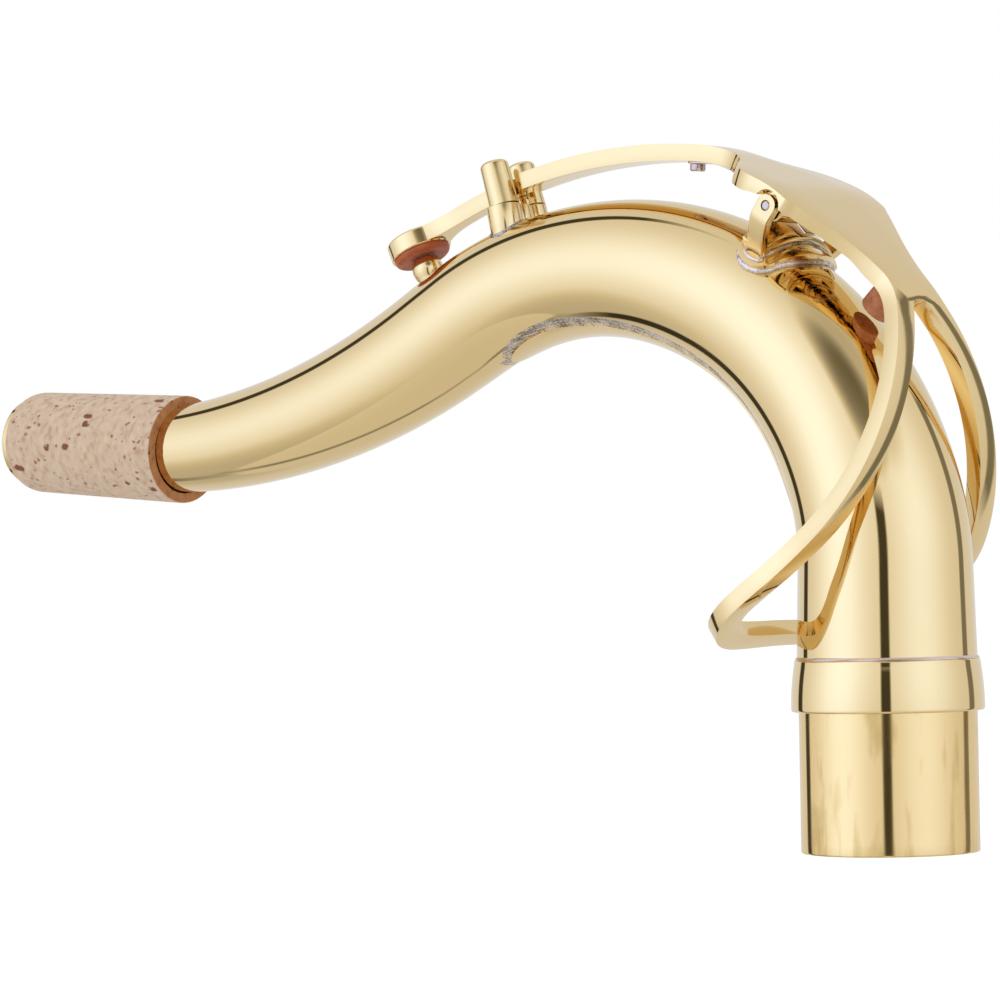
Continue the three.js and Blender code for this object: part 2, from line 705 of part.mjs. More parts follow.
// Bumper under the rear of the plate
const bumperTop = keyThickness + gap;
const bumperFrame = frameAt(keyLine, plateFront + bumperOnPlate);
const bumperRoot = new THREE.Vector3(0, bumperTop, 0).applyMatrix4(bumperFrame);
const tubeAtBumper = placeNearest(tubeLine, bumperRoot);
const lineAtBumper = pointAt(tubeLine, tubeAtBumper);
const bumperToLine = Math.hypot(bumperRoot.x - lineAtBumper.x, bumperRoot.z - lineAtBumper.z);
const bumperHeight = bumperToLine - tubeRadius(tubeAtBumper) - bumperStroke;
const bumperProfile = drawn((path) => {
  path.moveTo(0, bumperTop);
  path.lineTo(bumperRadius, bumperTop);
  path.lineTo(bumperRadius, bumperTop + bumperHeight - bumperEdge);
  path.lineTo(bumperRadius - bumperEdge, bumperTop + bumperHeight);
  path.lineTo(0, bumperTop + bumperHeight);
});
add('key_bumper', solid(turned(bumperProfile, smallTurnSteps), bumperFrame), bumperCork);

// Hinge barrel under the plate, and the rod through it and through both ears
const earInner = earSpacing / 2 - earThickness;
const rodBore = hingeRod(rodRadius + runningFit, -earSpacing, earSpacing);
add('hinge_barrel', hingeRod(barrelRadius, -earInner + gap, earInner - gap).subtract(rodBore), lacquer);

const rodHeadStart = earSpacing / 2 + gap;
const rodHeadEnd = rodHeadStart + rodHeadLength;
const rodSlot = block(
  new THREE.Vector3(hinge.x - rodSlotWidth / 2, rodHeadEnd - rodSlotDepth, hinge.z - rodHeadRadius - overrun),
  new THREE.Vector3(hinge.x + rodSlotWidth / 2, rodHeadEnd + overrun, hinge.z + rodHeadRadius + overrun),
);
const hingePin = hingeRod(rodRadius, -earSpacing / 2, rodHeadStart + seam)
  .add(hingeRod(rodHeadRadius, rodHeadStart, rodHeadEnd))
  .subtract(solid(rodSlot));
add('hinge_rod', hingePin, steel);

// Saddle: a band over the tube with round lobes, its two legs bent up as ears
const saddlePlace = hingePlace + saddleShift;
const saddleFrame = frameAt(tubeLine, saddlePlace);
const saddleInner = tubeRadius(saddlePlace) + gap;
const saddleOuter = saddleInner + saddleThickness;
const hingeOnSaddle = hinge.clone().applyMatrix4(new THREE.Matrix4().copy(saddleFrame).invert());
const bandFrom = quarter - radians(saddleHalfAngle);
const bandTo = quarter + radians(saddleHalfAngle);
const bandShape = new THREE.Shape();
bandShape.absarc(0, 0, saddleOuter, bandFrom, bandTo);
bandShape.absarc(0, 0, saddleInner, bandTo, bandFrom, true);

// The band's outline from above: a straight bridge with a round lobe at each side
const lobeRadius = saddleLength / 2;
const lobeOut = saddleOuter * Math.sin(radians(saddleHalfAngle)) - lobeRadius;
const footShape = new THREE.Shape();
footShape.absarc(lobeOut, 0, lobeRadius, -quarter, quarter);
footShape.absarc(-lobeOut, 0, lobeRadius, quarter, quarter * 3);

// One leg seen along the tube: bowed out from the band, then straight up past the hinge
function legShape(side) {
  const foot = new THREE.Vector2(0, saddleInner + saddleThickness / 2)
    .rotateAround(new THREE.Vector2(), -radians(earFootAngle));
  const knee = new THREE.Vector2(earKneeOut, earKneeUp);
  const slope = knee.clone().sub(foot).normalize();
  const inward = new THREE.Vector2(-slope.y, slope.x).multiplyScalar(earThickness);
  const straight = hingeOnSaddle.y - barrelRadius;
  const top = hingeOnSaddle.y + earHeadRadius + overrun;
  const points = drawn((path) => {
    path.moveTo(foot.x, foot.y);
    path.quadraticCurveTo(knee.x, knee.y, earSpacing / 2, straight);
    path.lineTo(earSpacing / 2, top);
    path.lineTo(earInner, top);
    path.lineTo(earInner, straight);
    path.quadraticCurveTo(knee.x + inward.x, knee.y + inward.y, foot.x + inward.x, foot.y + inward.y);
  }, edgeSteps);
  return new THREE.Shape(points.map((point) => new THREE.Vector2(point.x * side, point.y)));
}

// The legs' outline from the side: a strip with a round head at the hinge
const earShape = new THREE.Shape();
const earBase = saddleInner * Math.cos(radians(saddleHalfAngle));
earShape.moveTo(-earWidth / 2, earBase);
earShape.lineTo(earWidth / 2, earBase);
earShape.lineTo(hingeOnSaddle.z + earHeadRadius, hingeOnSaddle.y);
earShape.absarc(hingeOnSaddle.z, hingeOnSaddle.y, earHeadRadius, 0, Math.PI);

// A flat shape made into a solid of a given depth, centred on its own plane
function slab(shape, depth, matrix) {
  const geometry = new THREE.ExtrudeGeometry(shape, { depth, bevelEnabled: false, curveSegments: smallTurnSteps / 2 });
  return solid(geometry.translate(0, 0, -depth / 2), matrix);
}

const fromSide = new THREE.Matrix4().makeRotationY(-quarter);
const fromAbove = new THREE.Matrix4().makeRotationX(-quarter);
const legs = slab(legShape(1), saddleLength)
  .add(slab(legShape(-1), saddleLength))
  .intersect(slab(earShape, earSpacing + overrun, fromSide));
const band = slab(bandShape, saddleLength).intersect(slab(footShape, saddleOuter * 2 + overrun, fromAbove));
const tubeUnderSaddle = alongTube(gap, saddlePlace - saddleLength, saddlePlace + saddleLength);
const saddle = band.add(legs).transform(saddleFrame.toArray())
  .subtract(rodBore)
  .subtract(tubeUnderSaddle);
add('hinge_saddle', saddle, lacquer);

// Flat spring under the arm, bent down to press on the saddle
const springStart = new THREE.Vector3(0, keyThickness + gap, 0).applyMatrix4(springFrame);
const springHeading = degrees(pointAt(keyLine, springPlace).heading);

// The spring's line, with a given angle of its second bend
function springWith(angle) {
  const springSecond = { radius: springSecondRadius, angle };
  return sideLine(springStart, 0, springHeading, [springRoot, springFirst, springSecond, springEnd]);
}

// How far the spring's tip stands over the saddle, with that angle
function tipOverSaddle(angle) {
  const line = springWith(angle);
  const tip = new THREE.Vector3(0, springThickness, 0).applyMatrix4(frameAt(line, line.end));
  return tip.applyMatrix4(new THREE.Matrix4().copy(saddleFrame).invert()).y - saddleOuter;
}

let springTurn = 0;
for (let i = 1; i <= searchSteps; i += 1) {
  const angle = (springTurnLimit * i) / searchSteps;
  if (tipOverSaddle(angle) > springStroke) springTurn = angle;
}
const springLine = springWith(springTurn);
const springStations = placesBetween(springLine, 0, springLine.end);
const springLayout = (x, y) => [(x * springWidth) / 2, y * springThickness];
const spring = sweep(sheetShape, springLine, springStations, springLayout)
  .subtract(solid(screwHole, springFrame));
add('flat_spring', spring, springSteel);

// Spring screw with a slotted head
const screwHeadStart = keyThickness + gap + springThickness + gap;
const screwHeadEnd = screwHeadStart + screwHeadHeight;
const screwSlot = block(
  new THREE.Vector3(-screwHeadRadius - overrun, screwHeadEnd - screwSlotDepth, screwInset - screwSlotWidth / 2),
  new THREE.Vector3(screwHeadRadius + overrun, screwHeadEnd + overrun, screwInset + screwSlotWidth / 2),
);
const screwShank = rod(screwShankRadius, keyThickness - screwShankDepth, screwHeadStart + seam);
const screwHead = rod(screwHeadRadius, screwHeadStart, screwHeadEnd);
const screw = solid(screwShank.translate(0, 0, screwInset))
  .add(solid(screwHead.translate(0, 0, screwInset)))
  .subtract(solid(screwSlot));
add('spring_screw', screw.transform(springFrame.toArray()), steel);

export default group;
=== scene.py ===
"""Looks of a saxophone neck: polished brass tube, tenon, cork and octave key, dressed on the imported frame."""

import logging
import math
from collections.abc import Callable, Sequence
from dataclasses import dataclass
from enum import Enum

import bmesh
import bpy
from mathutils import Matrix, Vector


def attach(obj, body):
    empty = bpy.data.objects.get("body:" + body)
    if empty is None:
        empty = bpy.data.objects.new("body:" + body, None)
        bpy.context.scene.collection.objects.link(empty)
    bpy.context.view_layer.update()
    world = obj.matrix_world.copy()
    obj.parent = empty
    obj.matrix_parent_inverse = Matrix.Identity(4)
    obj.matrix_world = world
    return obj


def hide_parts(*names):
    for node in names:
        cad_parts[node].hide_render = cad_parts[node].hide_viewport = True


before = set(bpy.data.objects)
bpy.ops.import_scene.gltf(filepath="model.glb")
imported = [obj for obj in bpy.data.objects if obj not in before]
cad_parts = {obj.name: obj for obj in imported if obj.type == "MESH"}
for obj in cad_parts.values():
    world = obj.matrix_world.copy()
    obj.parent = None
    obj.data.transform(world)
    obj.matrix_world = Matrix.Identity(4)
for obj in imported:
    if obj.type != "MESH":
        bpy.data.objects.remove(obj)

log = logging.getLogger("neck")
MM = 0.001
SHARP_EDGE = 40
LIE_PASSES = 6

Piece = bpy.types.Object
Socket = bpy.types.NodeSocket
Tree = bpy.types.NodeTree
Point = tuple[float, float]
BeadPath = list[tuple[Vector, Vector, Vector]]


class Body(str, Enum):
    """The two rigid bodies of the neck."""

    NECK = "neck"
    KEY = "key"


# Lines and lengths, in millimetres


@dataclass(frozen=True)
class Bend:
    """A bend of a side line: its radius and the angle it turns, in degrees."""

    radius: float
    angle: float

    @property
    def length(self) -> float:
        """Length of the bend along the line."""
        return self.radius * abs(math.radians(self.angle))


class SideLine:
    """A line in the XZ plane, made of straight runs and bends."""

    def __init__(self, x: float, z: float, place: float, heading: float, runs: Sequence[float | Bend]) -> None:
        """Lays the runs end to end.

        Args:
            x: Start along X.
            z: Start along Z.
            place: The start's distance along the line.
            heading: Degrees from +X toward +Z.
            runs: Lengths of straight runs, or bends.
        """
        self.start = place
        self.parts: list[tuple[float, float, float, float, float, float]] = []
        turn_to = math.radians(heading)
        for run in runs:
            length = run.length if isinstance(run, Bend) else run
            turn = math.radians(run.angle) if isinstance(run, Bend) else 0.0
            part = (x, z, turn_to, place, length, turn)
            self.parts.append(part)
            x, z, turn_to = self._on(part, length)
            place += length
        self.end = place

    @staticmethod
    def _on(part: tuple[float, float, float, float, float, float], distance: float) -> tuple[float, float, float]:
        """The point and heading of one run at a distance from its start."""
        x, z, heading, _, length, turn = part
        turned = turn * distance / length
        chord = distance if turned == 0 else distance * math.sin(turned / 2) / (turned / 2)
        middle = heading + turned / 2
        return x + chord * math.cos(middle), z + chord * math.sin(middle), heading + turned

    def point(self, place: float) -> tuple[float, float, float]:
        """The line's x, z and heading in radians at a place, its end runs carried on."""
        found = self.parts[0]
        for part in self.parts:
            if place >= part[3]:
                found = part
        return self._on(found, place - found[3])

    def frame(self, place: float) -> Matrix:
        """The frame at a place: x across, y out to the right of the line, z along it."""
        x, z, heading = self.point(place)
        along = Vector((math.cos(heading), 0, math.sin(heading)))
        out = Vector((along.z, 0, -along.x))
        across = out.cross(along)
        made = Matrix((across, out, along)).transposed().to_4x4()
        made.translation = Vector((x, 0, z))
        return made

    def leaning(self, place: float, tilt: float) -> Matrix:
        """The frame at a place, leant toward the line's end by an angle in degrees."""
        return self.frame(place) @ Matrix.Rotation(math.radians(tilt), 4, "X")


UP_OUT = Matrix.Rotation(-math.pi / 2, 4, "X")


def out_frame(made: Matrix) -> Matrix:
    """A line's frame turned so that its z axis points out of the tube."""
    return made @ UP_OUT


@dataclass(frozen=True)
class TubeLine:
    """The neck tube's middle line and radius."""

    start: float = 30.1
    runs: tuple[float | Bend, ...] = (14.4, Bend(40.2, 15.8), Bend(49.8, 46.9), Bend(60.4, 54.6), 8.2,
                                      Bend(145.4, -23), Bend(50, -8.1), 34.9)
    end_radius: float = 6.9
    cork_radius: float = 7.56
    low_radius: float = 13.9
    bow: float = 2.05
    lean: float = 1.6
    crown_place: float = 130.51
    crown_reach: float = 22.2
    crown_dip: float = 0.55
    cork_length: float = 36.9
    cork_from_end: float = 1.5
    wall: float = 0.65

    def line(self) -> SideLine:
        """The middle line from the collar up."""
        return SideLine(0, self.start, self.start, 90, self.runs)

    def radius(self, place: float) -> float:
        """The tube's outer radius at a place."""
        rear = TUBE.end - self.cork_from_end - self.cork_length
        if place > rear:
            share = (place - rear) / (TUBE.end - rear)
            return self.cork_radius + (self.end_radius - self.cork_radius) * share
        share = (place - self.start) / (rear - self.start)
        fullness = (self.bow - self.lean * (1 - 2 * share)) * share * (1 - share)
        dip = self.crown_dip * math.exp(-(((place - self.crown_place) / self.crown_reach) ** 2))
        return self.low_radius + (self.cork_radius - self.low_radius) * share + fullness - dip


TUBE_SIZES = TubeLine()
TUBE = TUBE_SIZES.line()
CROWN_START, FALL_START, FALL_END = (TUBE.parts[i][3] for i in (2, 3, 4))


def lie(at: Matrix, place: float, x: float, y: float) -> float:
    """The height at which a point of a piece's frame lies on the tube.

    Args:
        at: The piece's frame, its z axis out of the tube.
        place: About where it stands on the tube.
        x: Across the tube in that frame.
        y: Along the tube in that frame.

    Returns:
        The height over the frame's origin.
    """
    height = TUBE_SIZES.radius(place)
    for _ in range(LIE_PASSES):
        point = at @ Vector((x, y, height))
        near = place
        for _ in range(LIE_PASSES):
            line_x, line_z, heading = TUBE.point(near)
            near += (point.x - line_x) * math.cos(heading) + (point.z - line_z) * math.sin(heading)
        line_x, line_z, heading = TUBE.point(near)
        height += TUBE_SIZES.radius(near) - math.hypot(point.y, math.hypot(point.x - line_x, point.z - line_z))
    return height


# Materials


def linear(code: str) -> tuple[float, float, float, float]:
    """Turns an sRGB hex colour into linear RGBA.

    Args:
        code: Six hex digits.

    Returns:
        Linear red, green, blue and an alpha of one.
    """
    parts = [int(code[i:i + 2], 16) / 255 for i in (0, 2, 4)]
    made = [c / 12.92 if c <= 0.04045 else ((c + 0.055) / 1.055) ** 2.4 for c in parts]
    return made[0], made[1], made[2], 1.0


def add_node(tree: Tree, kind: str, links: dict | None = None, **settings: object) -> bpy.types.Node:
    """Adds a node with its settings, values and links.

    Args:
        tree: The node tree.
        kind: The node's type name.
        links: Input name or number to a value or an output socket.
        settings: Properties of the node.

    Returns:
        The new node.
    """
    node = tree.nodes.new(kind)
    for name, value in settings.items():
        setattr(node, name, value)
    for name, value in (links or {}).items():
        socket = node.inputs[name]
        if isinstance(value, Socket):
            tree.links.new(value, socket)
        else:
            socket.default_value = value
    return node


def ramp(tree: Tree, source: Socket, stops: Sequence[tuple[float, str]]) -> Socket:
    """A colour ramp through hex colours at the given positions."""
    node = add_node(tree, "ShaderNodeValToRGB", {"Fac": source})
    band = node.color_ramp
    while len(band.elements) < len(stops):
        band.elements.new(0.5)
    for element, (position, code) in zip(band.elements, stops):
        element.position = position
        element.color = linear(code)
    return node.outputs["Color"]


def grey(tree: Tree, source: Socket, low: float, high: float, to_low: float, to_high: float) -> Socket:
    """Maps a value from one range to another, clamped."""
    links = {"Value": source, "From Min": low, "From Max": high, "To Min": to_low, "To Max": to_high}
    return add_node(tree, "ShaderNodeMapRange", links).outputs["Result"]


def maths(tree: Tree, operation: str, *values: Socket | float) -> Socket:
    """Works out a value from others with a maths node."""
    return add_node(tree, "ShaderNodeMath", dict(enumerate(values)), operation=operation).outputs[0]


def cells_of(tree: Tree, where: Socket, size_mm: float) -> bpy.types.Node:
    """Cells about size_mm across, scattered at random."""
    links = {"Vector": where, "Scale": 1 / (size_mm * MM), "Randomness": 1.0}
    return add_node(tree, "ShaderNodeTexVoronoi", links)


@dataclass(frozen=True)
class Finish:
    """A plain material: its name, colour and shine. Kinds with a pattern of their own extend dress()."""

    name: str
    colour: str
    metallic: float = 0.0
    roughness: float = 0.5
    coat: float = 0.0
    coat_roughness: float = 0.03
    slot: str = "lacquered_brass"

    def make(self) -> bpy.types.Material:
        """Builds the node material once and keeps it."""
        found = bpy.data.materials.get(self.name)
        if found:
            return found
        material = bpy.data.materials.new(self.name)
        material.use_nodes = True
        tree = material.node_tree
        shader = tree.nodes["Principled BSDF"]
        shader.inputs["Base Color"].default_value = linear(self.colour)
        shader.inputs["Metallic"].default_value = self.metallic
        shader.inputs["Roughness"].default_value = self.roughness
        shader.inputs["Coat Weight"].default_value = self.coat
        shader.inputs["Coat Roughness"].default_value = self.coat_roughness
        material.diffuse_color = linear(self.colour)
        self.dress(tree, shader)
        return material

    def dress(self, tree: Tree, shader: bpy.types.Node) -> None:
        """Adds the finish's own pattern; plain here."""

    @staticmethod
    def place(tree: Tree, stretch: tuple[float, float, float] = (1, 1, 1)) -> Socket:
        """Object coordinates, stretched along each axis."""
        where = add_node(tree, "ShaderNodeTexCoord").outputs["Object"]
        return add_node(tree, "ShaderNodeMapping", {"Vector": where, "Scale": stretch}).outputs["Vector"]

    @staticmethod
    def noise(tree: Tree, where: Socket, size_mm: float, detail: float) -> Socket:
        """Noise whose lumps are about size_mm across."""
        links = {"Vector": where, "Scale": 1 / (size_mm * MM), "Detail": detail}
        return add_node(tree, "ShaderNodeTexNoise", links).outputs["Fac"]

    @staticmethod
    def bump(tree: Tree, shader: bpy.types.Node, height: Socket, depth_mm: float, strength: float) -> None:
        """Bumps the shader's normal by a height of up to depth_mm."""
        links = {"Height": height, "Distance": depth_mm * MM, "Strength": strength}
        made = add_node(tree, "ShaderNodeBump", links).outputs["Normal"]
        tree.links.new(made, shader.inputs["Normal"])


@dataclass(frozen=True)
class LacqueredBrass(Finish):
    """Yellow brass, buffed to a mirror and clear lacquered: sharp gold reflections under a thin glassy coat."""

    def dress(self, tree: Tree, shader: bpy.types.Node) -> None:
        """Handling marks: faint smudges in the shine and a colour that wanders a little."""
        where = self.place(tree)
        smudge = self.noise(tree, where, 14, 4)
        rough = grey(tree, smudge, 0.45, 0.75, self.roughness * 0.7, self.roughness * 1.8)
        tree.links.new(rough, shader.inputs["Roughness"])
        hue = add_node(tree, "ShaderNodeMix", {"Factor": self.noise(tree, where, 40, 1)}, data_type="RGBA")
        hue.inputs[6].default_value = linear(self.colour)
        hue.inputs[7].default_value = tuple(c * 0.96 for c in linear(self.colour)[:3]) + (1.0,)
        tree.links.new(hue.outputs[2], shader.inputs["Base Color"])


@dataclass(frozen=True)
class BareBrass(Finish):
    """Turned brass with no lacquer: fine turning lines round it, dull patches and fingermarks."""

    def dress(self, tree: Tree, shader: bpy.types.Node) -> None:
        """Turning lines, tarnish and smudges."""
        rings = self.noise(tree, self.place(tree, (0.02, 0.02, 1)), 0.35, 2)
        tarnish = self.noise(tree, self.place(tree, (1, 1, 0.6)), 7, 5)
        drips = self.noise(tree, self.place(tree, (1, 1, 0.12)), 2.2, 3)
        mixed = maths(tree, "MULTIPLY", tarnish, drips)
        tone = ramp(tree, mixed, [(0.1, "c9a662"), (0.24, self.colour), (0.42, self.colour)])
        dull = grey(tree, mixed, 0.12, 0.4, self.roughness * 2.2, self.roughness * 0.8)
        tree.links.new(tone, shader.inputs["Base Color"])
        tree.links.new(dull, shader.inputs["Roughness"])
        self.bump(tree, shader, rings, 0.002, 0.5)


@dataclass(frozen=True)
class Solder(Finish):
    """Soft solder, wiped: silver-grey with a grainy skin, and a painted highlight that brightens it by some share on
    the near side.
    """

    # Share of painted highlight added to the colour on the side toward the camera.
    near: float = 0.0

    def dress(self, tree: Tree, shader: bpy.types.Node) -> None:
        """Grainy skin with brighter specks, and the painted highlight on the near side."""
        grain = self.noise(tree, self.place(tree), 0.3, 4)
        wiped = self.noise(tree, self.place(tree), 3, 2)
        tone = maths(tree, "ADD", grain, wiped)
        across = add_node(tree, "ShaderNodeSeparateXYZ", {"Vector": self.place(tree)}).outputs["Y"]
        # Painted highlight: the colour is lifted by the near share on the side toward the camera.
        near = grey(tree, across, -9 * MM, -2 * MM, self.near, 0.0)
        level = maths(tree, "MULTIPLY_ADD", tone, 0.5, near)
        colours = ramp(tree, level, [(0.36, "4e4842"), (0.47, self.colour), (0.6, "e8dcd6")])
        tree.links.new(colours, shader.inputs["Base Color"])
        self.bump(tree, shader, grain, 0.07, 0.7)


@dataclass(frozen=True)
class Steel(Finish):
    """Turned and polished steel, with faint lines."""

    def dress(self, tree: Tree, shader: bpy.types.Node) -> None:
        """Faint fine lines and dull spots."""
        lines = self.noise(tree, self.place(tree, (1, 0.1, 1)), 0.3, 2)
        rough = grey(tree, lines, 0.3, 0.7, self.roughness * 0.7, self.roughness * 1.5)
        tree.links.new(rough, shader.inputs["Roughness"])
        self.bump(tree, shader, lines, 0.004, 0.5)


@dataclass(frozen=True)
class Cork(Finish):
    """Natural sheet cork, sanded: pale, with darker grain and brown pores."""

    pore: str = "8a5238"
    grain: str = "cba88a"
    pale: str = "e6cfb8"
    pore_mm: float = 3.4
    pores: float = 1

    def dress(self, tree: Tree, shader: bpy.types.Node) -> None:
        """Speckled grain and dark pores of many sizes, all sunk a little."""
        where = self.place(tree)
        warp = add_node(tree, "ShaderNodeTexNoise", {"Vector": where, "Scale": 1 / (2.5 * MM), "Detail": 3.0})
        bent = add_node(tree, "ShaderNodeMix", {"Factor": 0.0016}, data_type="VECTOR")
        tree.links.new(self.place(tree, (0.75, 1.3, 1)), bent.inputs[4])
        tree.links.new(warp.outputs["Color"], bent.inputs[5])
        speckle = self.noise(tree, self.place(tree, (1, 1, 0.7)), 1.2, 6)
        base = ramp(tree, speckle, [(0.3, self.grain), (0.46, self.colour), (0.7, self.pale)])
        cells = cells_of(tree, bent.outputs[1], self.pore_mm)
        pick = add_node(tree, "ShaderNodeSeparateColor", {"Color": cells.outputs["Color"]}).outputs["Red"]
        size = grey(tree, pick, 0.45, 1.0, 0.0, 0.36 * self.pores)
        edge = maths(tree, "SUBTRACT", size, cells.outputs["Distance"])
        pores = grey(tree, edge, 0.0, 0.06, 0.0, 1.0)
        fine = cells_of(tree, bent.outputs[1], 1.0)
        fine_pick = add_node(tree, "ShaderNodeSeparateColor", {"Color": fine.outputs["Color"]}).outputs["Green"]
        fine_size = grey(tree, fine_pick, 0.6, 1.0, 0.0, 0.42 * self.pores)
        fine_edge = maths(tree, "SUBTRACT", fine_size, fine.outputs["Distance"])
        dots = grey(tree, fine_edge, 0.0, 0.1, 0.0, 0.75)
        all_pores = maths(tree, "MAXIMUM", pores, dots)
        mixed = add_node(tree, "ShaderNodeMix", {"Factor": all_pores}, data_type="RGBA")
        tree.links.new(base, mixed.inputs[6])
        mixed.inputs[7].default_value = linear(self.pore)
        tree.links.new(mixed.outputs[2], shader.inputs["Base Color"])
        depth = maths(tree, "SUBTRACT", grey(tree, speckle, 0.2, 0.8, 0.0, 0.4), all_pores)
        self.bump(tree, shader, depth, 0.06, 0.7)


@dataclass(frozen=True)
class Leather(Finish):
    """Thin tanned leather: orange-brown, fine grain, slightly waxy."""

    def dress(self, tree: Tree, shader: bpy.types.Node) -> None:
        """Fine grain and darker handling."""
        where = self.place(tree)
        grain = add_node(tree, "ShaderNodeTexVoronoi", {"Vector": where, "Scale": 1 / (0.45 * MM)}).outputs["Distance"]
        tone = self.noise(tree, where, 2.5, 3)
        colours = ramp(tree, tone, [(0.3, "a9512b"), (0.6, self.colour), (0.8, "d27a50")])
        tree.links.new(colours, shader.inputs["Base Color"])
        self.bump(tree, shader, grain, 0.02, 0.4)


BRASS = LacqueredBrass("lacquered_brass_mirror", "edd197", metallic=1, roughness=0.045, coat=0.5)
KEY_BRASS = LacqueredBrass("lacquered_brass_key", "edd197", metallic=1, roughness=0.07, coat=0.5)
FITTING_BRASS = LacqueredBrass("lacquered_brass_fitting", "edd197", metallic=1, roughness=0.15, coat=0.3)
TENON_BRASS = BareBrass("bare_brass_turned", "edce92", metallic=1, roughness=0.062, slot="bare_brass")
RING_BRASS = LacqueredBrass("bare_brass_ring", "e6cb92", metallic=1, roughness=0.1, slot="bare_brass")
SOLDER = Solder("soft_solder_wiped", "aa9f9b", metallic=0.85, roughness=0.36)
# The saddle's solder: a copy of the plain solder with a painted highlight on its near side.
SADDLE_SOLDER_PAINTED_HIGHLIGHT = Solder("soft_solder_saddle_painted_highlight", "aa9f9b", metallic=0.85, roughness=0.32, near=0.12)
# Pale smooth solder: on the collar's seam, and on the near ear's foot as a painted highlight, where the far foot keeps
# the grey solder.
PALE_SOLDER_AND_PAINTED_HIGHLIGHT = Finish("soft_solder_pale_and_painted_highlight", "e2d0c6", metallic=0.95, roughness=0.22)
STEEL = Steel("steel_turned", "c5b3aa", metallic=1, roughness=0.16, slot="steel")
SPRING = Steel("spring_steel_bright", "cab8ae", metallic=1, roughness=0.1, slot="spring_steel")
CORK = Cork("natural_cork_sanded", "dcc2a9", roughness=0.85, slot="cork")
CORK_END = Cork("natural_cork_end", "b97c4c", roughness=0.8, slot="cork", grain="a0653a", pale="c68e5c", pore="5a2e18")
PAD = Leather("pad_leather_tanned", "c4653c", roughness=0.45, slot="pad_leather")
BUMPER = Cork("bumper_cork_pressed", "c27a56", roughness=0.75, slot="bumper_cork", grain="b06845", pale="cf8c68",
              pore="8a4a30", pore_mm=1.5, pores=0.5)


# Modelling tools. Shapes are modelled in millimetres and scaled when they are settled.


def clear_selection() -> None:
    """Nothing selected and nothing active."""
    bpy.ops.object.select_all(action="DESELECT")
    bpy.context.view_layer.objects.active = None


def wake(obj: Piece) -> None:
    """Makes obj the only selected and the active object."""
    clear_selection()
    obj.select_set(True)
    bpy.context.view_layer.objects.active = obj


def new_piece(name: str) -> Piece:
    """The object that the last operator made, under its own name."""
    obj = bpy.context.object
    obj.name = name
    return obj


def mend(obj: Piece, threshold: float = 1e-5) -> None:
    """Merges doubles and turns the faces outwards."""
    wake(obj)
    bpy.ops.object.mode_set(mode="EDIT")
    bpy.ops.mesh.select_all(action="SELECT")
    bpy.ops.mesh.remove_doubles(threshold=threshold)
    bpy.ops.mesh.normals_make_consistent(inside=False)
    bpy.ops.object.mode_set(mode="OBJECT")


def turned(name: str, profile: Sequence[Point], steps: int = 96) -> Piece:
    """Turns a profile about the z axis, as on a lathe.

    Args:
        name: The piece's name.
        profile: (radius, height) points.
        steps: Steps round.

    Returns:
        The turned shape.
    """
    clear_selection()
    bpy.ops.mesh.primitive_circle_add(vertices=3, radius=1, fill_type="NOTHING")
    obj = new_piece(name)
    bpy.ops.object.mode_set(mode="EDIT")
    bpy.ops.mesh.select_all(action="DESELECT")
    shape = bmesh.from_edit_mesh(obj.data)
    shape.verts.ensure_lookup_table()
    for vert in shape.verts[1:]:
        vert.select_set(True)
    bpy.ops.mesh.delete(type="VERT")
    shape = bmesh.from_edit_mesh(obj.data)
    shape.verts.ensure_lookup_table()
    shape.verts[0].co = (profile[0][0], 0, profile[0][1])
    shape.verts[0].select_set(True)
    bmesh.update_edit_mesh(obj.data)
    for (r0, z0), (r1, z1) in zip(profile, profile[1:]):
        bpy.ops.mesh.extrude_vertices_move(TRANSFORM_OT_translate={"value": (r1 - r0, 0, z1 - z0)})
    bpy.ops.mesh.select_all(action="SELECT")
    bpy.ops.mesh.spin(steps=steps, angle=2 * math.pi, center=(0, 0, 0), axis=(0, 0, 1))
    bpy.ops.object.mode_set(mode="OBJECT")
    mend(obj)
    return obj


def grown_tube(name: str, first: float, last: float, steps: int, segments: int = 96) -> Piece:
    """A unit circle extruded along z from one place to another."""
    clear_selection()
    bpy.ops.mesh.primitive_circle_add(vertices=segments, radius=1, fill_type="NOTHING", location=(0, 0, first))
    obj = new_piece(name)
    bpy.ops.object.transform_apply(location=True)
    bpy.ops.object.mode_set(mode="EDIT")
    bpy.ops.mesh.select_all(action="SELECT")
    bpy.ops.mesh.extrude_repeat(steps=steps, offset=(0, 0, (last - first) / steps))
    bpy.ops.object.mode_set(mode="OBJECT")
    return obj


def grid(name: str, columns: int, rows: int) -> Piece:
    """A flat grid over -1 to 1 in x and y."""
    clear_selection()
    bpy.ops.mesh.primitive_grid_add(x_subdivisions=columns, y_subdivisions=rows, size=2)
    return new_piece(name)


def shaped(obj: Piece, law: Callable[[Vector], Vector]) -> Piece:
    """Moves every corner to where law puts it."""
    for vert in obj.data.vertices:
        vert.co = law(vert.co.copy())
    obj.data.update()
    return obj


def modify(obj: Piece, kind: str, **settings: object) -> Piece:
    """Adds a modifier with its settings and applies it."""
    wake(obj)
    made = obj.modifiers.new(kind.lower(), kind)
    for name, value in settings.items():
        setattr(made, name, value)
    bpy.ops.object.modifier_apply(modifier=made.name)
    return obj


def soften(obj: Piece, width: float, segments: int = 3) -> Piece:
    """Rounds every sharp edge, as a file and buffing wheel do."""
    return modify(obj, "BEVEL", width=width, segments=segments, limit_method="ANGLE",
                  angle_limit=math.radians(SHARP_EDGE), use_clamp_overlap=True, harden_normals=False)


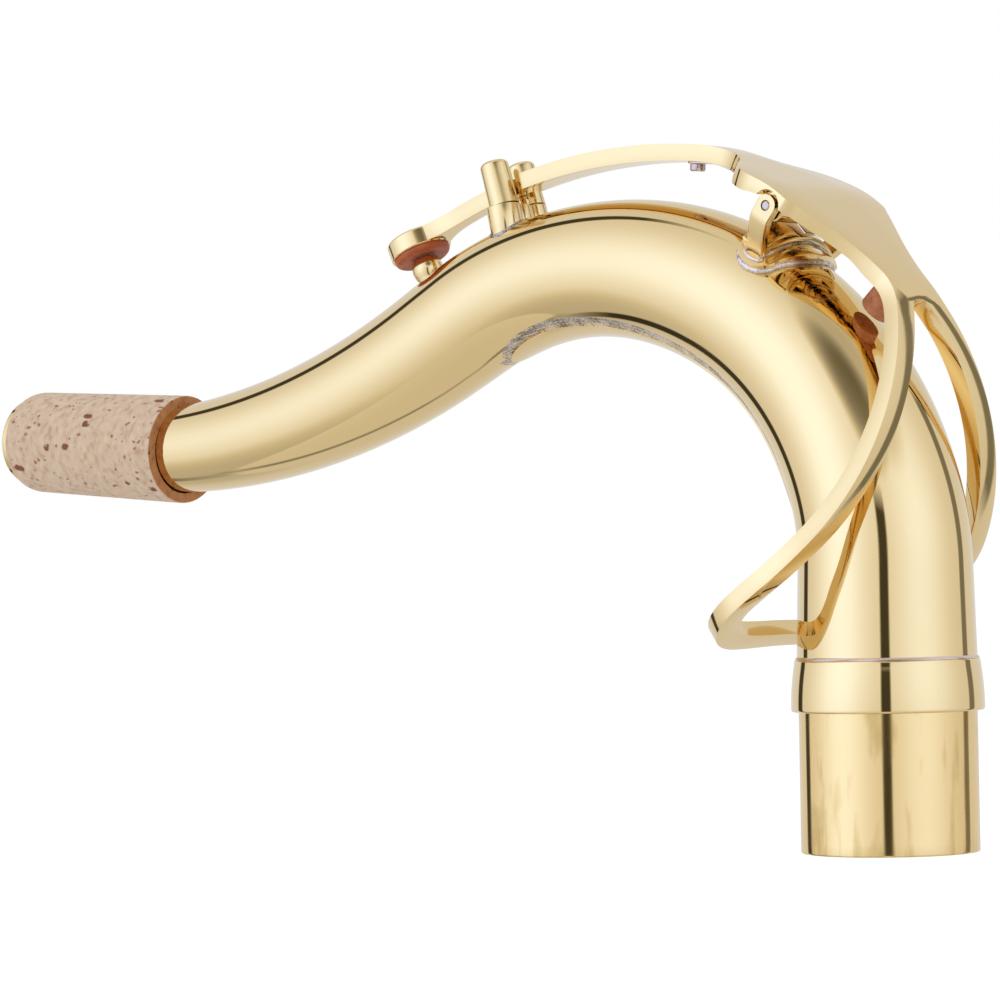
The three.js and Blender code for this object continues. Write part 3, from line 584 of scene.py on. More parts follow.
def thicken(obj: Piece, thickness: float, offset: float) -> Piece:
    """Gives a sheet its thickness."""
    return modify(obj, "SOLIDIFY", thickness=thickness, offset=offset, use_even_offset=True)


def cut(obj: Piece, tool: Piece) -> Piece:
    """Cuts a tool's shape out of a piece and clears the tool away."""
    modify(obj, "BOOLEAN", operation="DIFFERENCE", solver="EXACT", object=tool)
    bpy.data.objects.remove(tool)
    return obj


def pin(name: str, radius: float, low: float, high: float, at: Matrix, steps: int = 48) -> Piece:
    """A plain round cutter along a frame's z axis."""
    clear_selection()
    bpy.ops.mesh.primitive_cylinder_add(vertices=steps, radius=radius, depth=high - low)
    obj = new_piece(name)
    move(obj, at @ Matrix.Translation((0, 0, (low + high) / 2)))
    return obj


def block(name: str, size: tuple[float, float, float], at: Matrix) -> Piece:
    """A plain square cutter in the middle of a frame."""
    clear_selection()
    bpy.ops.mesh.primitive_cube_add(size=1)
    obj = new_piece(name)
    move(obj, at @ Matrix.Diagonal((*size, 1)))
    return obj


def move(obj: Piece, at: Matrix) -> Piece:
    """Moves a shape into a frame and keeps the place in its mesh."""
    wake(obj)
    obj.matrix_world = at
    bpy.ops.object.transform_apply(location=True, rotation=True, scale=True)
    return obj


def pad_of(name: str, radius_at: Callable[[float], float], low: Callable[[float, float], float], high: float,
           steps: int) -> Piece:
    """A straight-sided body with a free outline.

    Args:
        name: The piece's name.
        radius_at: The outline's radius toward an angle.
        low: The underside's height at a point.
        high: The top's height.
        steps: Points round.

    Returns:
        The body, its outline in x and y.
    """
    clear_selection()
    bpy.ops.mesh.primitive_cylinder_add(vertices=steps, radius=1, depth=2)
    obj = new_piece(name)

    def law(co: Vector) -> Vector:
        reach = radius_at(math.atan2(co.y, co.x))
        x, y = co.x * reach, co.y * reach
        return Vector((x, y, high if co.z > 0 else low(x, y)))

    return shaped(obj, law)


def bead(name: str, path: BeadPath, wide: float, high: float, uneven: float = 0.25) -> Piece:
    """A closed bead of solder run along a path.

    Args:
        name: The piece's name.
        path: Points with their side and upward directions, in millimetres.
        wide: Half its width.
        high: Half its height.
        uneven: How much its size wanders.

    Returns:
        The bead.
    """
    count = len(path)
    clear_selection()
    bpy.ops.mesh.primitive_torus_add(major_segments=count, minor_segments=12, major_radius=2, minor_radius=1)
    obj = new_piece(name)

    def law(co: Vector) -> Vector:
        turn = math.atan2(co.y, co.x)
        point, side, up = path[round(turn / (2 * math.pi) * count) % count]
        swell = 1 + uneven * (0.5 * math.sin(5 * turn + 1) + 0.3 * math.sin(11 * turn) + 0.2 * math.sin(23 * turn + 2))
        return point + side * (math.hypot(co.x, co.y) - 2) * wide * swell + up * co.z * high * swell

    shaped(obj, law)
    mend(obj)
    return obj


def around(at: Matrix, place: float, radius_at: Callable[[float], float], steps: int) -> BeadPath:
    """The path where an outline stands on the tube, for a bead round it."""
    points = []
    for i in range(steps):
        turn = 2 * math.pi * i / steps
        x, y = math.cos(turn) * radius_at(turn), math.sin(turn) * radius_at(turn)
        points.append(at @ Vector((x, y, lie(at, place, x, y))))
    found = []
    for i, point in enumerate(points):
        line_x, line_z, _ = TUBE.point(place)
        up = Vector((point.x - line_x, point.y, point.z - line_z)).normalized()
        along = (points[(i + 1) % steps] - points[i - 1]).normalized()
        found.append((point, along.cross(up), up))
    return found


def joined(name: str, parts: Sequence[Piece]) -> Piece:
    """Joins shapes into one piece."""
    clear_selection()
    for part in parts:
        part.select_set(True)
    bpy.context.view_layer.objects.active = parts[0]
    bpy.ops.object.join()
    parts[0].name = name
    return parts[0]


def settle(obj: Piece, at: Matrix | None = None) -> Piece:
    """Moves a shape from its own frame into the neck's, in metres, with its place in its mesh."""
    wake(obj)
    obj.matrix_world = Matrix.Scale(MM, 4) @ (at or Matrix.Identity(4))
    bpy.ops.object.transform_apply(location=True, rotation=True, scale=True)
    return obj


def dress(obj: Piece, finish: Finish, body: Body, *nodes: str, angle: float = 35, at: Matrix | None = None) -> Piece:
    """Settles, smooths, paints and fastens a piece.

    Args:
        obj: The piece.
        finish: Its finish.
        body: The body that it rides on.
        nodes: CAD nodes that it stands for.
        angle: Edges sharper than this stay sharp.
        at: The frame that it was modelled in; none for the neck's own.

    Returns:
        The piece.
    """
    settle(obj, at)
    wake(obj)
    bpy.ops.object.shade_smooth_by_angle(angle=math.radians(angle))
    obj.data.materials.clear()
    obj.data.materials.append(finish.make())
    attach(obj, body.value)
    if nodes:
        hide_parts(*nodes)
    log.info("%s: %d faces, rides on %s", obj.name, len(obj.data.polygons), body.value)
    return obj


def arc(x: float, y: float, radius: float, start: float, end: float, steps: int = 6) -> list[Point]:
    """Points of an arc between two angles in degrees."""
    found = []
    for i in range(steps + 1):
        angle = math.radians(start + (end - start) * i / steps)
        found.append((x + radius * math.cos(angle), y + radius * math.sin(angle)))
    return found


def bezier(points: Sequence[Point], steps: int) -> list[Point]:
    """Points of a Bezier curve of any degree, by repeated mixing."""
    found = []
    for i in range(steps + 1):
        t = i / steps
        level = [Vector(p) for p in points]
        while len(level) > 1:
            level = [a.lerp(b, t) for a, b in zip(level, level[1:])]
        found.append((level[0].x, level[0].y))
    return found


# The neck's own pieces


@dataclass
class NeckTube:
    """The bent tube with its brace, mouth ring and cork."""

    steps: int = 190
    brace_start: float = CROWN_START - 5.6
    brace_end: float = FALL_END - 4.9
    brace_tip: float = 20
    brace_half_angle: float = 31
    brace_thickness: float = 0.5
    brace_lift: float = 0.28
    ring_length: float = 1.2
    ring_wall: float = 0.6
    ring_over: float = 0.15
    ring_round: float = 0.3
    gap: float = 0.3
    cork_rear_radius: float = 9.4
    cork_front_radius: float = 8.95
    cork_worn: tuple[float, float] = (1.15, 2.6)
    cork_corner: float = 0.35
    solder_width: float = 2.0
    solder_thickness: float = 0.5

    def build(self) -> None:
        """Builds and dresses every piece of the tube."""
        self.tube()
        self.brace()
        self.mouth_ring()
        self.cork()

    def tube(self) -> None:
        """The tube: a circle grown along z, tapered, bent and given its wall."""
        obj = grown_tube("tube_wall", TUBE.start, TUBE.end, self.steps)

        def law(co: Vector) -> Vector:
            radius = TUBE_SIZES.radius(co.z)
            return TUBE.frame(co.z) @ Vector((co.x * radius, co.y * radius, 0))

        shaped(obj, law)
        mend(obj)
        thicken(obj, TUBE_SIZES.wall, -1)
        dress(obj, BRASS, Body.NECK, "neck_tube", angle=50)

    def brace_law(self, low: float, grow: float) -> Callable[[Vector], Vector]:
        """How the flat brace lies on the tube: its height over it and how far it outgrows its outline."""
        length = self.brace_end - self.brace_start

        def law(co: Vector) -> Vector:
            turn = math.pi / 2 * co.y
            place = self.brace_start + length * (0.5 + 0.5 * math.sin(turn) * (1 + 2 * grow / length))
            inner = max(self.brace_start, min(self.brace_end, place))
            reach = min(inner - self.brace_start, self.brace_end - inner, self.brace_tip) / self.brace_tip
            share = math.sqrt(max(0.0, 1 - (1 - reach) ** 2))
            radius = TUBE_SIZES.radius(place) + low
            angle = math.radians(self.brace_half_angle) * share * co.x + grow / radius * co.x
            return TUBE.frame(place) @ Vector((-math.sin(angle) * radius, -math.cos(angle) * radius, 0))

        return law

    def brace(self) -> None:
        """The brace sheet and the line of solder round it."""
        sheet = grid("brace_sheet", 40, 150)
        shaped(sheet, self.brace_law(self.brace_lift, 0))
        mend(sheet)
        thicken(sheet, self.brace_thickness, 1)
        dress(sheet, BRASS, Body.NECK, "under_brace")
        seam = grid("brace_solder", 40, 150)
        shaped(seam, self.brace_law(0.0, self.solder_width))
        mend(seam)
        thicken(seam, self.solder_thickness, 1)
        soften(seam, 0.2)
        dress(seam, SOLDER, Body.NECK)

    def mouth_ring(self) -> None:
        """The plain ring at the tube's end."""
        inner = TUBE_SIZES.end_radius - TUBE_SIZES.wall
        outer = TUBE_SIZES.end_radius + self.ring_over + self.ring_wall
        turn = self.ring_round
        profile = [(TUBE_SIZES.end_radius, -self.ring_length), (outer, -self.ring_length)]
        profile += arc(outer - turn, -turn, turn, 0, 90)
        profile += arc(inner + turn, -turn, turn, 90, 180)
        profile += [(inner, -self.ring_length)]
        obj = turned("mouth_rim", profile, 96)
        dress(obj, RING_BRASS, Body.NECK, "mouth_ring", at=TUBE.frame(TUBE.end))

    def cork(self) -> None:
        """The cork sleeve: a cone with worn edges, over the tube."""
        front = -self.ring_length - self.gap
        rear = front - TUBE_SIZES.cork_length
        inner, corner = TUBE_SIZES.end_radius + self.gap, self.cork_corner
        profile = [(TUBE_SIZES.cork_radius + 0.12, rear)]
        profile += arc(self.cork_rear_radius - corner, rear + corner, corner, -90, 0, 4)
        for i in range(1, 40):
            share = i / 40
            profile.append((self.cork_rear_radius + (self.cork_front_radius - self.cork_rear_radius) * share,
                            rear + corner + (TUBE_SIZES.cork_length - corner - self.cork_worn[1]) * share))
        for i in range(9):
            turn = math.pi / 2 * i / 8
            profile.append((self.cork_front_radius - self.cork_worn[0] * (1 - math.cos(turn)),
                            front - self.cork_worn[1] * (1 - math.sin(turn))))
        profile += [(inner + 0.05, front)]
        obj = turned("cork_sleeve", profile, 128)
        dress(obj, CORK, Body.NECK, "neck_cork", angle=60, at=TUBE.frame(TUBE.end))
        obj.data.materials.append(CORK_END.make())
        axis = TUBE.frame(TUBE.end).to_3x3() @ Vector((0, 0, 1))
        for face in obj.data.polygons:
            if face.normal.dot(axis) < -0.8:
                face.material_index = 1


@dataclass
class Tenon:
    """The turned tenon and the collar over it."""

    radius: float = 13.75
    bore: float = 12.3
    length: float = 21.7
    spigot: float = 12.9
    spigot_top: float = 36
    collar_low: float = 14.9
    collar_high: float = 14.3
    collar_height: float = 7.8
    collar_round: float = 0.35
    end_round: float = 0.3
    gap: float = 0.3

    def build(self) -> None:
        """Builds and dresses the tenon, the collar and its solder line."""
        profile = [(self.bore, 0.15), (self.bore + 0.15, 0)]
        profile += arc(self.radius - self.end_round, self.end_round, self.end_round, -90, 0, 4)
        profile += [(self.radius, self.length * i / 12) for i in range(1, 13)]
        profile += [(self.spigot, self.length), (self.spigot, self.spigot_top), (self.bore, self.spigot_top)]
        profile += [(self.bore, self.spigot_top * i / 12) for i in range(11, 0, -1)]
        profile += [(self.bore, 0.15)]
        obj = turned("tenon_tube", profile, 160)
        dress(obj, TENON_BRASS, Body.NECK, "tenon_sleeve")
        low = self.length + 0.05
        high = self.length + self.gap + self.collar_height
        turn = self.collar_round
        profile = [(self.spigot, low)]
        profile += arc(self.collar_low - turn, low + turn, turn, -90, 0, 4)
        side = [(self.collar_low, low + 0.6), (self.collar_low, low + 4), (self.collar_high, high - 0.4)]
        profile += bezier(side, 10)
        profile += arc(self.collar_high - turn, high - turn, turn, 10, 90, 4)
        profile += [(self.spigot, high), (self.spigot, low)]
        obj = turned("collar", profile, 160)
        dress(obj, BRASS, Body.NECK, "tenon_collar")
        tube = TUBE_SIZES.low_radius
        seam = [(-0.3, -0.1), (0.32, -0.05), (0.2, 0.22), (-0.05, 0.42), (-0.3, 0.4)]
        line = turned("collar_solder", [(tube + out, high + up) for out, up in seam], 160)
        dress(line, PALE_SOLDER_AND_PAINTED_HIGHLIGHT, Body.NECK)


@dataclass
class Key:
    """The octave key: a stamped and bent sheet with its cup, barrel, pad, bumper and spring."""

    thickness: float = 2.68
    pip_place: float = FALL_END + 5.4
    pip_tilt: float = -2.3
    pip_height: float = 3.8
    cup_radius: float = 5.2
    cup_height: float = 3
    cup_on_line: float = 1.2
    cup_rise: float = 0.1
    cup_edge: float = 0.5
    pad_radius: float = 4.85
    pad_showing: float = 0.95
    gap: float = 0.3
    runs: tuple[float | Bend, ...] = (5.9, Bend(106.59, -31.5), Bend(31.6, -18.3), 10.8, Bend(22.5, -14),
                                      Bend(144, -7.3), Bend(15.5, -19.4), Bend(35.2, -80), 16.7)
    cup_half: float = 4.5
    cup_reach: float = 12
    cup_ease: float = 0.42
    front_half: float = 1.55
    neck_half: float = 0.75
    arm_half: float = 2.8
    post_place: float = 23.8
    neck_reach: float = 3.2
    step: float = 0.7
    shoulder: tuple[float, float, float, float] = (-5, 4.36, 1.55, 10.6)
    plate_half: float = 13.1
    corner: float = 17.2
    corner_length: float = 1.8
    corner_depth: float = 1
    waist: float = 35
    waist_half: float = 5.4
    flare: float = 38
    flare_from_end: float = 20.7
    waist_round: float = 3
    flare_round: float = 6
    ring_half: float = 26.19
    ring_corner: float = 11.5
    ring_arch: float = 0.7
    arch_half: tuple[float, float] = (9.5, 7)
    bar: float = 4
    bar_thin: float = 1.1
    bar_thin_half: float = 17
    bar_thin_length: float = 8
    nose: float = 39.4
    nose_radius: float = 2.5
    hinge_on_plate: float = 14.65
    hinge_depth: float = 3
    channel_radius: float = 2.5
    channel_half: float = 17
    barrel_radius: float = 2.1
    barrel_fuller: float = 0.3
    barrel_half: float = 11.4
    barrel_bevel: float = 0.2
    barrel_play: float = 0.1
    rod_radius: float = 0.82
    edge_round: float = 0.2
    drop: float = 0.08
    plate_thin: float = 0.2
    plate_thin_from: float = 8
    plate_thin_to: float = 33
    plate_thin_ease: float = 4
    bumper_radius: float = 2.7
    bumper_height: float = 4.89
    spring_on_plate: float = -13.3
    spring_gap: float = 0.06
    spring_runs: tuple[float | Bend, ...] = (4.2, Bend(12, -20), Bend(45, -23.43), 1.0)
    spring_half: float = 1.2
    spring_thickness: float = 0.36
    screw_on_spring: float = 1.7
    screw_height: float = 1.15
    screw_turn: float = -50

    def __post_init__(self) -> None:
        """Finds the key's line from the pip that its pad closes."""
        self.pip_frame = TUBE.leaning(self.pip_place, self.pip_tilt)
        self.pip_top = TUBE_SIZES.radius(self.pip_place) + self.pip_height
        self.cup_bottom = self.pip_top + self.gap + self.pad_showing
        self.cup_top = self.cup_bottom + self.cup_height
        heading = math.degrees(TUBE.point(self.pip_place)[2]) + self.pip_tilt - 180
        start = self.pip_frame @ Vector((0, self.cup_top - self.cup_rise, self.cup_on_line))
        self.line = SideLine(start.x, start.z, 0, heading, self.runs)
        self.plate = self.line.parts[3][3]
        self.hinge = self.line.frame(self.plate + self.hinge_on_plate) @ Vector((0, self.hinge_depth, 0))

    def half_widths(self) -> list[Point]:
        """Points of the sheet's outer edge: place along the line and half the width."""
        posts, front = self.post_place, self.plate
        middle = self.cup_reach * self.cup_ease
        edge = bezier([(0.0, self.cup_half), (middle, self.cup_half), (middle, self.front_half),
                       (self.cup_reach, self.front_half)], 14)
        edge += [(posts - self.neck_reach - self.step, self.front_half), (posts - self.neck_reach, self.neck_half),
                 (posts + self.neck_reach, self.neck_half), (posts + self.neck_reach + self.step, self.arm_half)]
        turn = [front + place for place in self.shoulder]
        widths = (self.arm_half, self.arm_half, self.plate_half, self.plate_half)
        edge += bezier(list(zip(turn, widths)), 18)
        corner_end = front + self.corner + self.corner_length
        corner_half = self.plate_half - self.corner_depth
        edge += bezier([(front + self.corner, self.plate_half), (front + self.corner + 0.4, self.plate_half),
                        (corner_end, corner_half)], 6)
        waist = front + self.waist
        fall = corner_half - self.waist_half
        shares = ((0.0, 1.0), (0.25, 0.72), (0.57, 0.12), (1.0, 0.0))
        edge += bezier([(corner_end + (waist - corner_end) * run, self.waist_half + fall * wide)
                        for run, wide in shares], 20)[1:]
        flare, reached = front + self.flare, self.line.end - self.flare_from_end
        slope = (self.ring_half - self.waist_half) / (reached - flare)
        edge += bezier([(flare - self.waist_round, self.waist_half), (flare, self.waist_half),
                        (flare + self.waist_round, self.waist_half + self.waist_round * slope)], 8)[1:]
        edge += bezier([(reached - self.flare_round, self.ring_half - self.flare_round * slope),
                        (reached, self.ring_half),
                        (reached + self.flare_round, self.ring_half)], 8)
        edge += [(self.line.end - self.ring_corner, self.ring_half)]
        end, straight, arched = self.line.end, self.ring_half - self.ring_corner, self.line.end - self.ring_arch
        edge += arc(end - self.ring_corner, straight, self.ring_corner, 90, 0, 16)[1:]
        edge += bezier([(end, straight), (end, self.arch_half[0]), (arched, self.arch_half[1]), (arched, 0.0)], 14)[1:]
        return edge

    def outline(self) -> tuple[list[Point], list[Point]]:
        """The sheet's outer edge and the ring's inner edge, both in short even steps."""
        rough = self.half_widths()
        fine = [rough[0]]
        for a, b in zip(rough, rough[1:]):
            count = max(1, math.ceil(math.dist(a, b)))
            fine += [(a[0] + (b[0] - a[0]) * i / count, a[1] + (b[1] - a[1]) * i / count) for i in range(1, count + 1)]
        fine = [fine[0]] + [b for a, b in zip(fine, fine[1:]) if math.dist(a, b) > 0.02]
        inner = []
        for i, point in enumerate(fine):
            before, after = fine[max(i - 1, 0)], fine[min(i + 1, len(fine) - 1)]
            run = math.dist(before, after) or 1.0
            toward_end = max(0.0, min(1.0, (point[0] - self.line.end) / self.bar_thin_length + 1))
            share = max(0.0, 1 - point[1] / self.bar_thin_half) * toward_end
            bar = self.bar - self.bar_thin * share
            inner.append((point[0] + (after[1] - before[1]) / run * bar, point[1] - (after[0] - before[0]) / run * bar))
        return fine, inner

    def sheet(self) -> Piece:
        """The blank with its thickness and soft edges, bent along the key's line, with the hinge's channel cut."""
        outer, inner = self.outline()
        nose = self.plate + self.nose
        turn = next(i for i, point in enumerate(outer) if point[0] >= nose)
        shape = bmesh.new()

        def corner(x: float, y: float) -> bmesh.types.BMVert:
            return shape.verts.new((x, y, 0))

        rows = []
        for x, y in outer[:turn + 1]:
            rows.append([corner(x, y * share) for share in (-1, -0.5, 0, 0.5, 1)])
        for before, after in zip(rows, rows[1:]):
            for i in range(4):
                shape.faces.new((before[i], before[i + 1], after[i + 1], after[i]))
        middle = nose + self.nose_radius
        last = rows[-1]
        for side in (-1, 1):
            bar = [(last[0] if side < 0 else last[4], last[1] if side < 0 else last[3], last[2])]
            for k in range(turn + 1, len(outer)):
                (x, y), (u, v) = outer[k], inner[k]
                if u < middle + 1:
                    angle = min(1.0, (x - outer[turn][0]) / (middle + 0.4 - outer[turn][0])) * math.pi / 2
                    u, v = middle - self.nose_radius * math.cos(angle), self.nose_radius * math.sin(angle)
                v = max(v, 0.0)
                bar.append((corner(x, y * side), corner((x + u) / 2, (y + v) / 2 * side), corner(u, v * side)))
            for before, after in zip(bar, bar[1:]):
                for i in range(2):
                    ring = (before[i], after[i], after[i + 1], before[i + 1])
                    if len(set(ring)) == 4:
                        shape.faces.new(ring if side > 0 else tuple(reversed(ring)))
        clear_selection()
        bpy.ops.mesh.primitive_plane_add(size=1)
        obj = new_piece("key_sheet")
        shape.to_mesh(obj.data)
        shape.free()
        mend(obj, 1e-3)
        thicken(obj, self.thickness, -1)
        soften(obj, self.edge_round)
        top = max(vert.co.z for vert in obj.data.vertices)

        def law(co: Vector) -> Vector:
            past = co.x - self.plate
            ease = self.plate_thin_ease
            thin = max(0.0, min(1.0, (past - self.plate_thin_from) / ease, (self.plate_thin_to - past) / ease))
            thinner = 1 - self.plate_thin * thin * thin * (3 - 2 * thin)
            return self.line.frame(co.x) @ Vector((co.y, self.drop + (top - co.z) * thinner, 0))

        shaped(obj, law)
        mend(obj)
        half = self.channel_half
        return cut(obj, pin("channel", self.channel_radius, -half, half, self.across_hinge(), 64))

    def across_hinge(self) -> Matrix:
        """The frame of the hinge's axis, z toward the far side."""
        return Matrix.Translation(self.hinge) @ Matrix.Rotation(-math.pi / 2, 4, "X")

    def build(self) -> None:
        """Builds and dresses every piece of the key."""
        sheet = self.sheet()
        cup_at = out_frame(self.pip_frame)
        edge = self.cup_edge
        profile = [(0, self.cup_top), (self.cup_radius - edge, self.cup_top)]
        profile += arc(self.cup_radius - edge, self.cup_top - edge, edge, 90, 0, 8)[1:]
        recess = self.pad_radius - 0.5
        profile += [(self.cup_radius, self.cup_bottom + 0.15), (self.cup_radius - 0.15, self.cup_bottom)]
        profile += [(recess, self.cup_bottom), (recess, self.cup_bottom + 0.6), (0, self.cup_bottom + 0.6)]
        cup = move(turned("cup", profile, 96), cup_at)
        piece = joined("key_sheet", [sheet, cup])
        dress(piece, KEY_BRASS, Body.KEY, "octave_key", angle=30)
        self.pad(cup_at)
        self.barrel()
        self.bumper()
        self.spring()
        self.screw()

    def pad(self, at: Matrix) -> None:
        """The skin pad: a soft disc in the cup, with the dent that the pip presses in it."""
        low = self.pip_top + self.gap
        r = self.pad_radius
        profile = [(0, low + 0.14), (1.9, low + 0.13), (2.5, low + 0.04), (2.9, low)]
        profile += arc(r - 0.85, low + 0.75, 0.8, -90, 20, 8)
        profile += [(r - 0.3, self.cup_bottom + 0.2), (0, self.cup_bottom + 0.4)]
        obj = turned("pad_skin", profile, 96)
        dress(obj, PAD, Body.KEY, "octave_pad", angle=60, at=at)

    def barrel(self) -> None:
        """The hinge barrel under the plate, a bored tube with bevelled ends."""
        half, bore, r = self.barrel_half, self.rod_radius + self.barrel_play, self.barrel_radius + self.barrel_fuller
        bevel = self.barrel_bevel
        profile = [(bore, -half), (r - bevel, -half), (r, -half + bevel)]
        profile += [(r, half - bevel), (r - bevel, half), (bore, half)]
        obj = turned("barrel", profile, 64)
        dress(obj, BRASS, Body.KEY, "hinge_barrel", at=self.across_hinge())

    def bumper(self) -> None:
        """The bumper under the waist of the key, its low edge a little worn."""
        r, top, low = self.bumper_radius, self.thickness - 0.05, self.thickness + self.gap + self.bumper_height
        profile = [(0, -low), (r - 0.5, -low)] + arc(r - 0.4, -low + 0.4, 0.4, -90, 0, 5)
        profile += [(r, -low + 2.5), (r - 0.08, -top), (0, -top)]
        obj = turned("bumper", profile, 80)
        at = self.line.frame(self.plate + self.waist) @ Matrix.Rotation(math.pi / 2, 4, "X")
        dress(obj, BUMPER, Body.KEY, "key_bumper", angle=60, at=at)

    def spring(self) -> None:
        """The flat spring: a thin bright strip with a round front end, bent down onto the saddle."""
        at = self.line.frame(self.plate + self.spring_on_plate)
        start = at @ Vector((0, self.thickness + self.spring_gap, 0))
        heading = math.degrees(self.line.point(self.plate + self.spring_on_plate)[2])
        line = SideLine(start.x, start.z, 0, heading, self.spring_runs)
        obj = grid("spring_strip", 4, 70)

        def law(co: Vector) -> Vector:
            place = line.end * (co.y + 1) / 2
            past = self.spring_half - min(place, self.spring_half)
            half = math.sqrt(max(0.0, self.spring_half ** 2 - past ** 2))
            return line.frame(place) @ Vector((co.x * half, 0, 0))

        shaped(obj, law)
        mend(obj)
        thicken(obj, self.spring_thickness, -1)
        self.face_down(obj, line, self.spring_thickness)
        soften(obj, 0.07, 2)
        dress(obj, SPRING, Body.KEY, "flat_spring")

    @staticmethod
    def face_down(obj: Piece, line: SideLine, thickness: float) -> None:
        """Moves a thickened strip outward where it grew on the wrong side of its line."""
        first = obj.data.vertices[0].co
        x, z, heading = line.point(0)
        out = Vector((math.sin(heading), 0, -math.cos(heading)))
        near = [vert.co for vert in obj.data.vertices if (vert.co - first).length < 1]
        lowest = min((co - Vector((x, 0, z))).dot(out) for co in near)
        if lowest < -thickness / 2:
            for vert in obj.data.vertices:
                vert.co = vert.co + out * thickness
            obj.data.update()

    def screw(self) -> None:
        """The spring's screw: a low slotted head with a bevelled rim."""
        at = out_frame(self.line.frame(self.plate + self.spring_on_plate))
        at = at @ Matrix.Translation((0, -self.screw_on_spring, 0))
        low = self.thickness + self.spring_gap + self.spring_thickness + 0.04
        high = low + self.screw_height
        profile = [(0, self.thickness - 1.8), (0.6, self.thickness - 1.8), (0.6, low), (1.2, low)]
        profile += [(1.25, low + 0.05), (1.25, high - 0.2), (1.07, high), (0, high)]
        slot_at = Matrix.Translation((0, 0, high)) @ Matrix.Rotation(math.radians(self.screw_turn), 4, "Z")
        obj = cut(turned("screw", profile, 48), block("slot", (4, 0.55, 1.1), slot_at))
        soften(obj, 0.04, 2)
        dress(obj, STEEL, Body.KEY, "spring_screw", at=at)


@dataclass
class Guide:
    """The key guide: a lobed foot soldered to the tube, and two tapered posts with round tops."""

    place: float = FALL_END - 13.3
    tilt: float = -2
    spacing: float = 6.8
    lobe: float = 2.8
    middle: float = 2.4
    foot_height: float = 2.9
    foot_sunk: float = 0.12
    post_height: float = 10.5
    post_low: float = 2.5
    post_high: float = 2.36
    post_round: float = 0.8
    post_sunk: float = 1.2
    post_step: float = 0.9
    post_lean: float = 4.5
    post_back: float = 0.4

    def __post_init__(self) -> None:
        """Finds the guide's frame on the tube."""
        self.at = out_frame(TUBE.leaning(self.place, self.tilt))
        self.ground = TUBE_SIZES.radius(self.place)

    def reach(self, turn: float) -> float:
        """The foot's radius toward an angle: two round lobes and a narrower middle."""
        found = self.middle
        for side in (-1, 1):
            along = side * self.spacing / 2 * math.cos(turn)
            inside = self.lobe ** 2 - (self.spacing / 2) ** 2 + along ** 2
            if inside >= 0:
                found = max(found, along + math.sqrt(inside))
        return found

    def build(self) -> None:
        """Builds and dresses the foot, its solder and the posts."""
        top = self.ground + self.foot_height
        foot = pad_of("guide_base", self.reach, lambda x, y: lie(self.at, self.place, x, y) - self.foot_sunk, top, 160)
        soften(foot, 0.16)
        dress(foot, FITTING_BRASS, Body.NECK, "guide_foot", angle=32, at=self.at)
        seam = bead("guide_solder", around(self.at, self.place, lambda turn: self.reach(turn) + 0.05, 160), 0.34, 0.26)
        dress(seam, SOLDER, Body.NECK)
        low, high = top - self.post_sunk, self.ground + self.post_height
        stem, seat = self.post_low - self.post_step, low + self.post_sunk
        profile = [(0, low), (stem, low), (stem, seat), (self.post_low, seat + 0.02)]
        taper, rise = self.post_high - self.post_low, high - self.post_round - seat - 0.02
        profile += [(self.post_low + taper * i / 6, seat + 0.02 + rise * i / 6) for i in range(1, 7)]
        profile += arc(self.post_high - self.post_round, high - self.post_round, self.post_round, 0, 84, 10)[1:]
        profile += [(0, high)]
        for node, side in (("guide_post_left", -1), ("guide_post_right", 1)):
            post = turned(node + "_turned", profile, 96)
            stand = Matrix.Translation((side * self.spacing / 2, self.post_back, low))
            lean = Matrix.Rotation(math.radians(self.post_lean), 4, "X")
            dress(post, FITTING_BRASS, Body.NECK, node, at=self.at @ stand @ lean @ Matrix.Translation((0, 0, -low)))


@dataclass
class Pip:
    """The octave pip: the turned vent that the pad closes, soldered to the tube."""

    key: Key
    foot_radius: float = 2.15
    belly: float = 2.72
    top_radius: float = 2.3
    vent: float = 0.7
    sunk: float = 0.4
    top_round: float = 0.4

    def build(self) -> None:
        """Builds and dresses the pip and its solder."""
        place = self.key.pip_place
        at = out_frame(self.key.pip_frame)
        ground, top = TUBE_SIZES.radius(place), self.key.pip_top
        profile = [(self.vent, ground - self.sunk), (self.foot_radius, ground - self.sunk),
                   (self.foot_radius, ground + 0.1)]
        profile += bezier([(self.foot_radius, ground + 0.2), (self.belly + 0.1, ground + 1.6),
                           (self.belly, ground + 2.5), (self.top_radius, top - self.top_round)], 12)[1:]
        profile += arc(self.top_radius - self.top_round, top - self.top_round, self.top_round, 10, 90, 5)
        profile += [(self.vent, top), (self.vent, ground - self.sunk)]
        obj = turned("pip", profile, 80)
        dress(obj, FITTING_BRASS, Body.NECK, "octave_pip", at=at)
        seam = bead("pip_solder", around(at, place, lambda turn: self.foot_radius + 0.05, 96), 0.4, 0.28)
        dress(seam, SOLDER, Body.NECK)


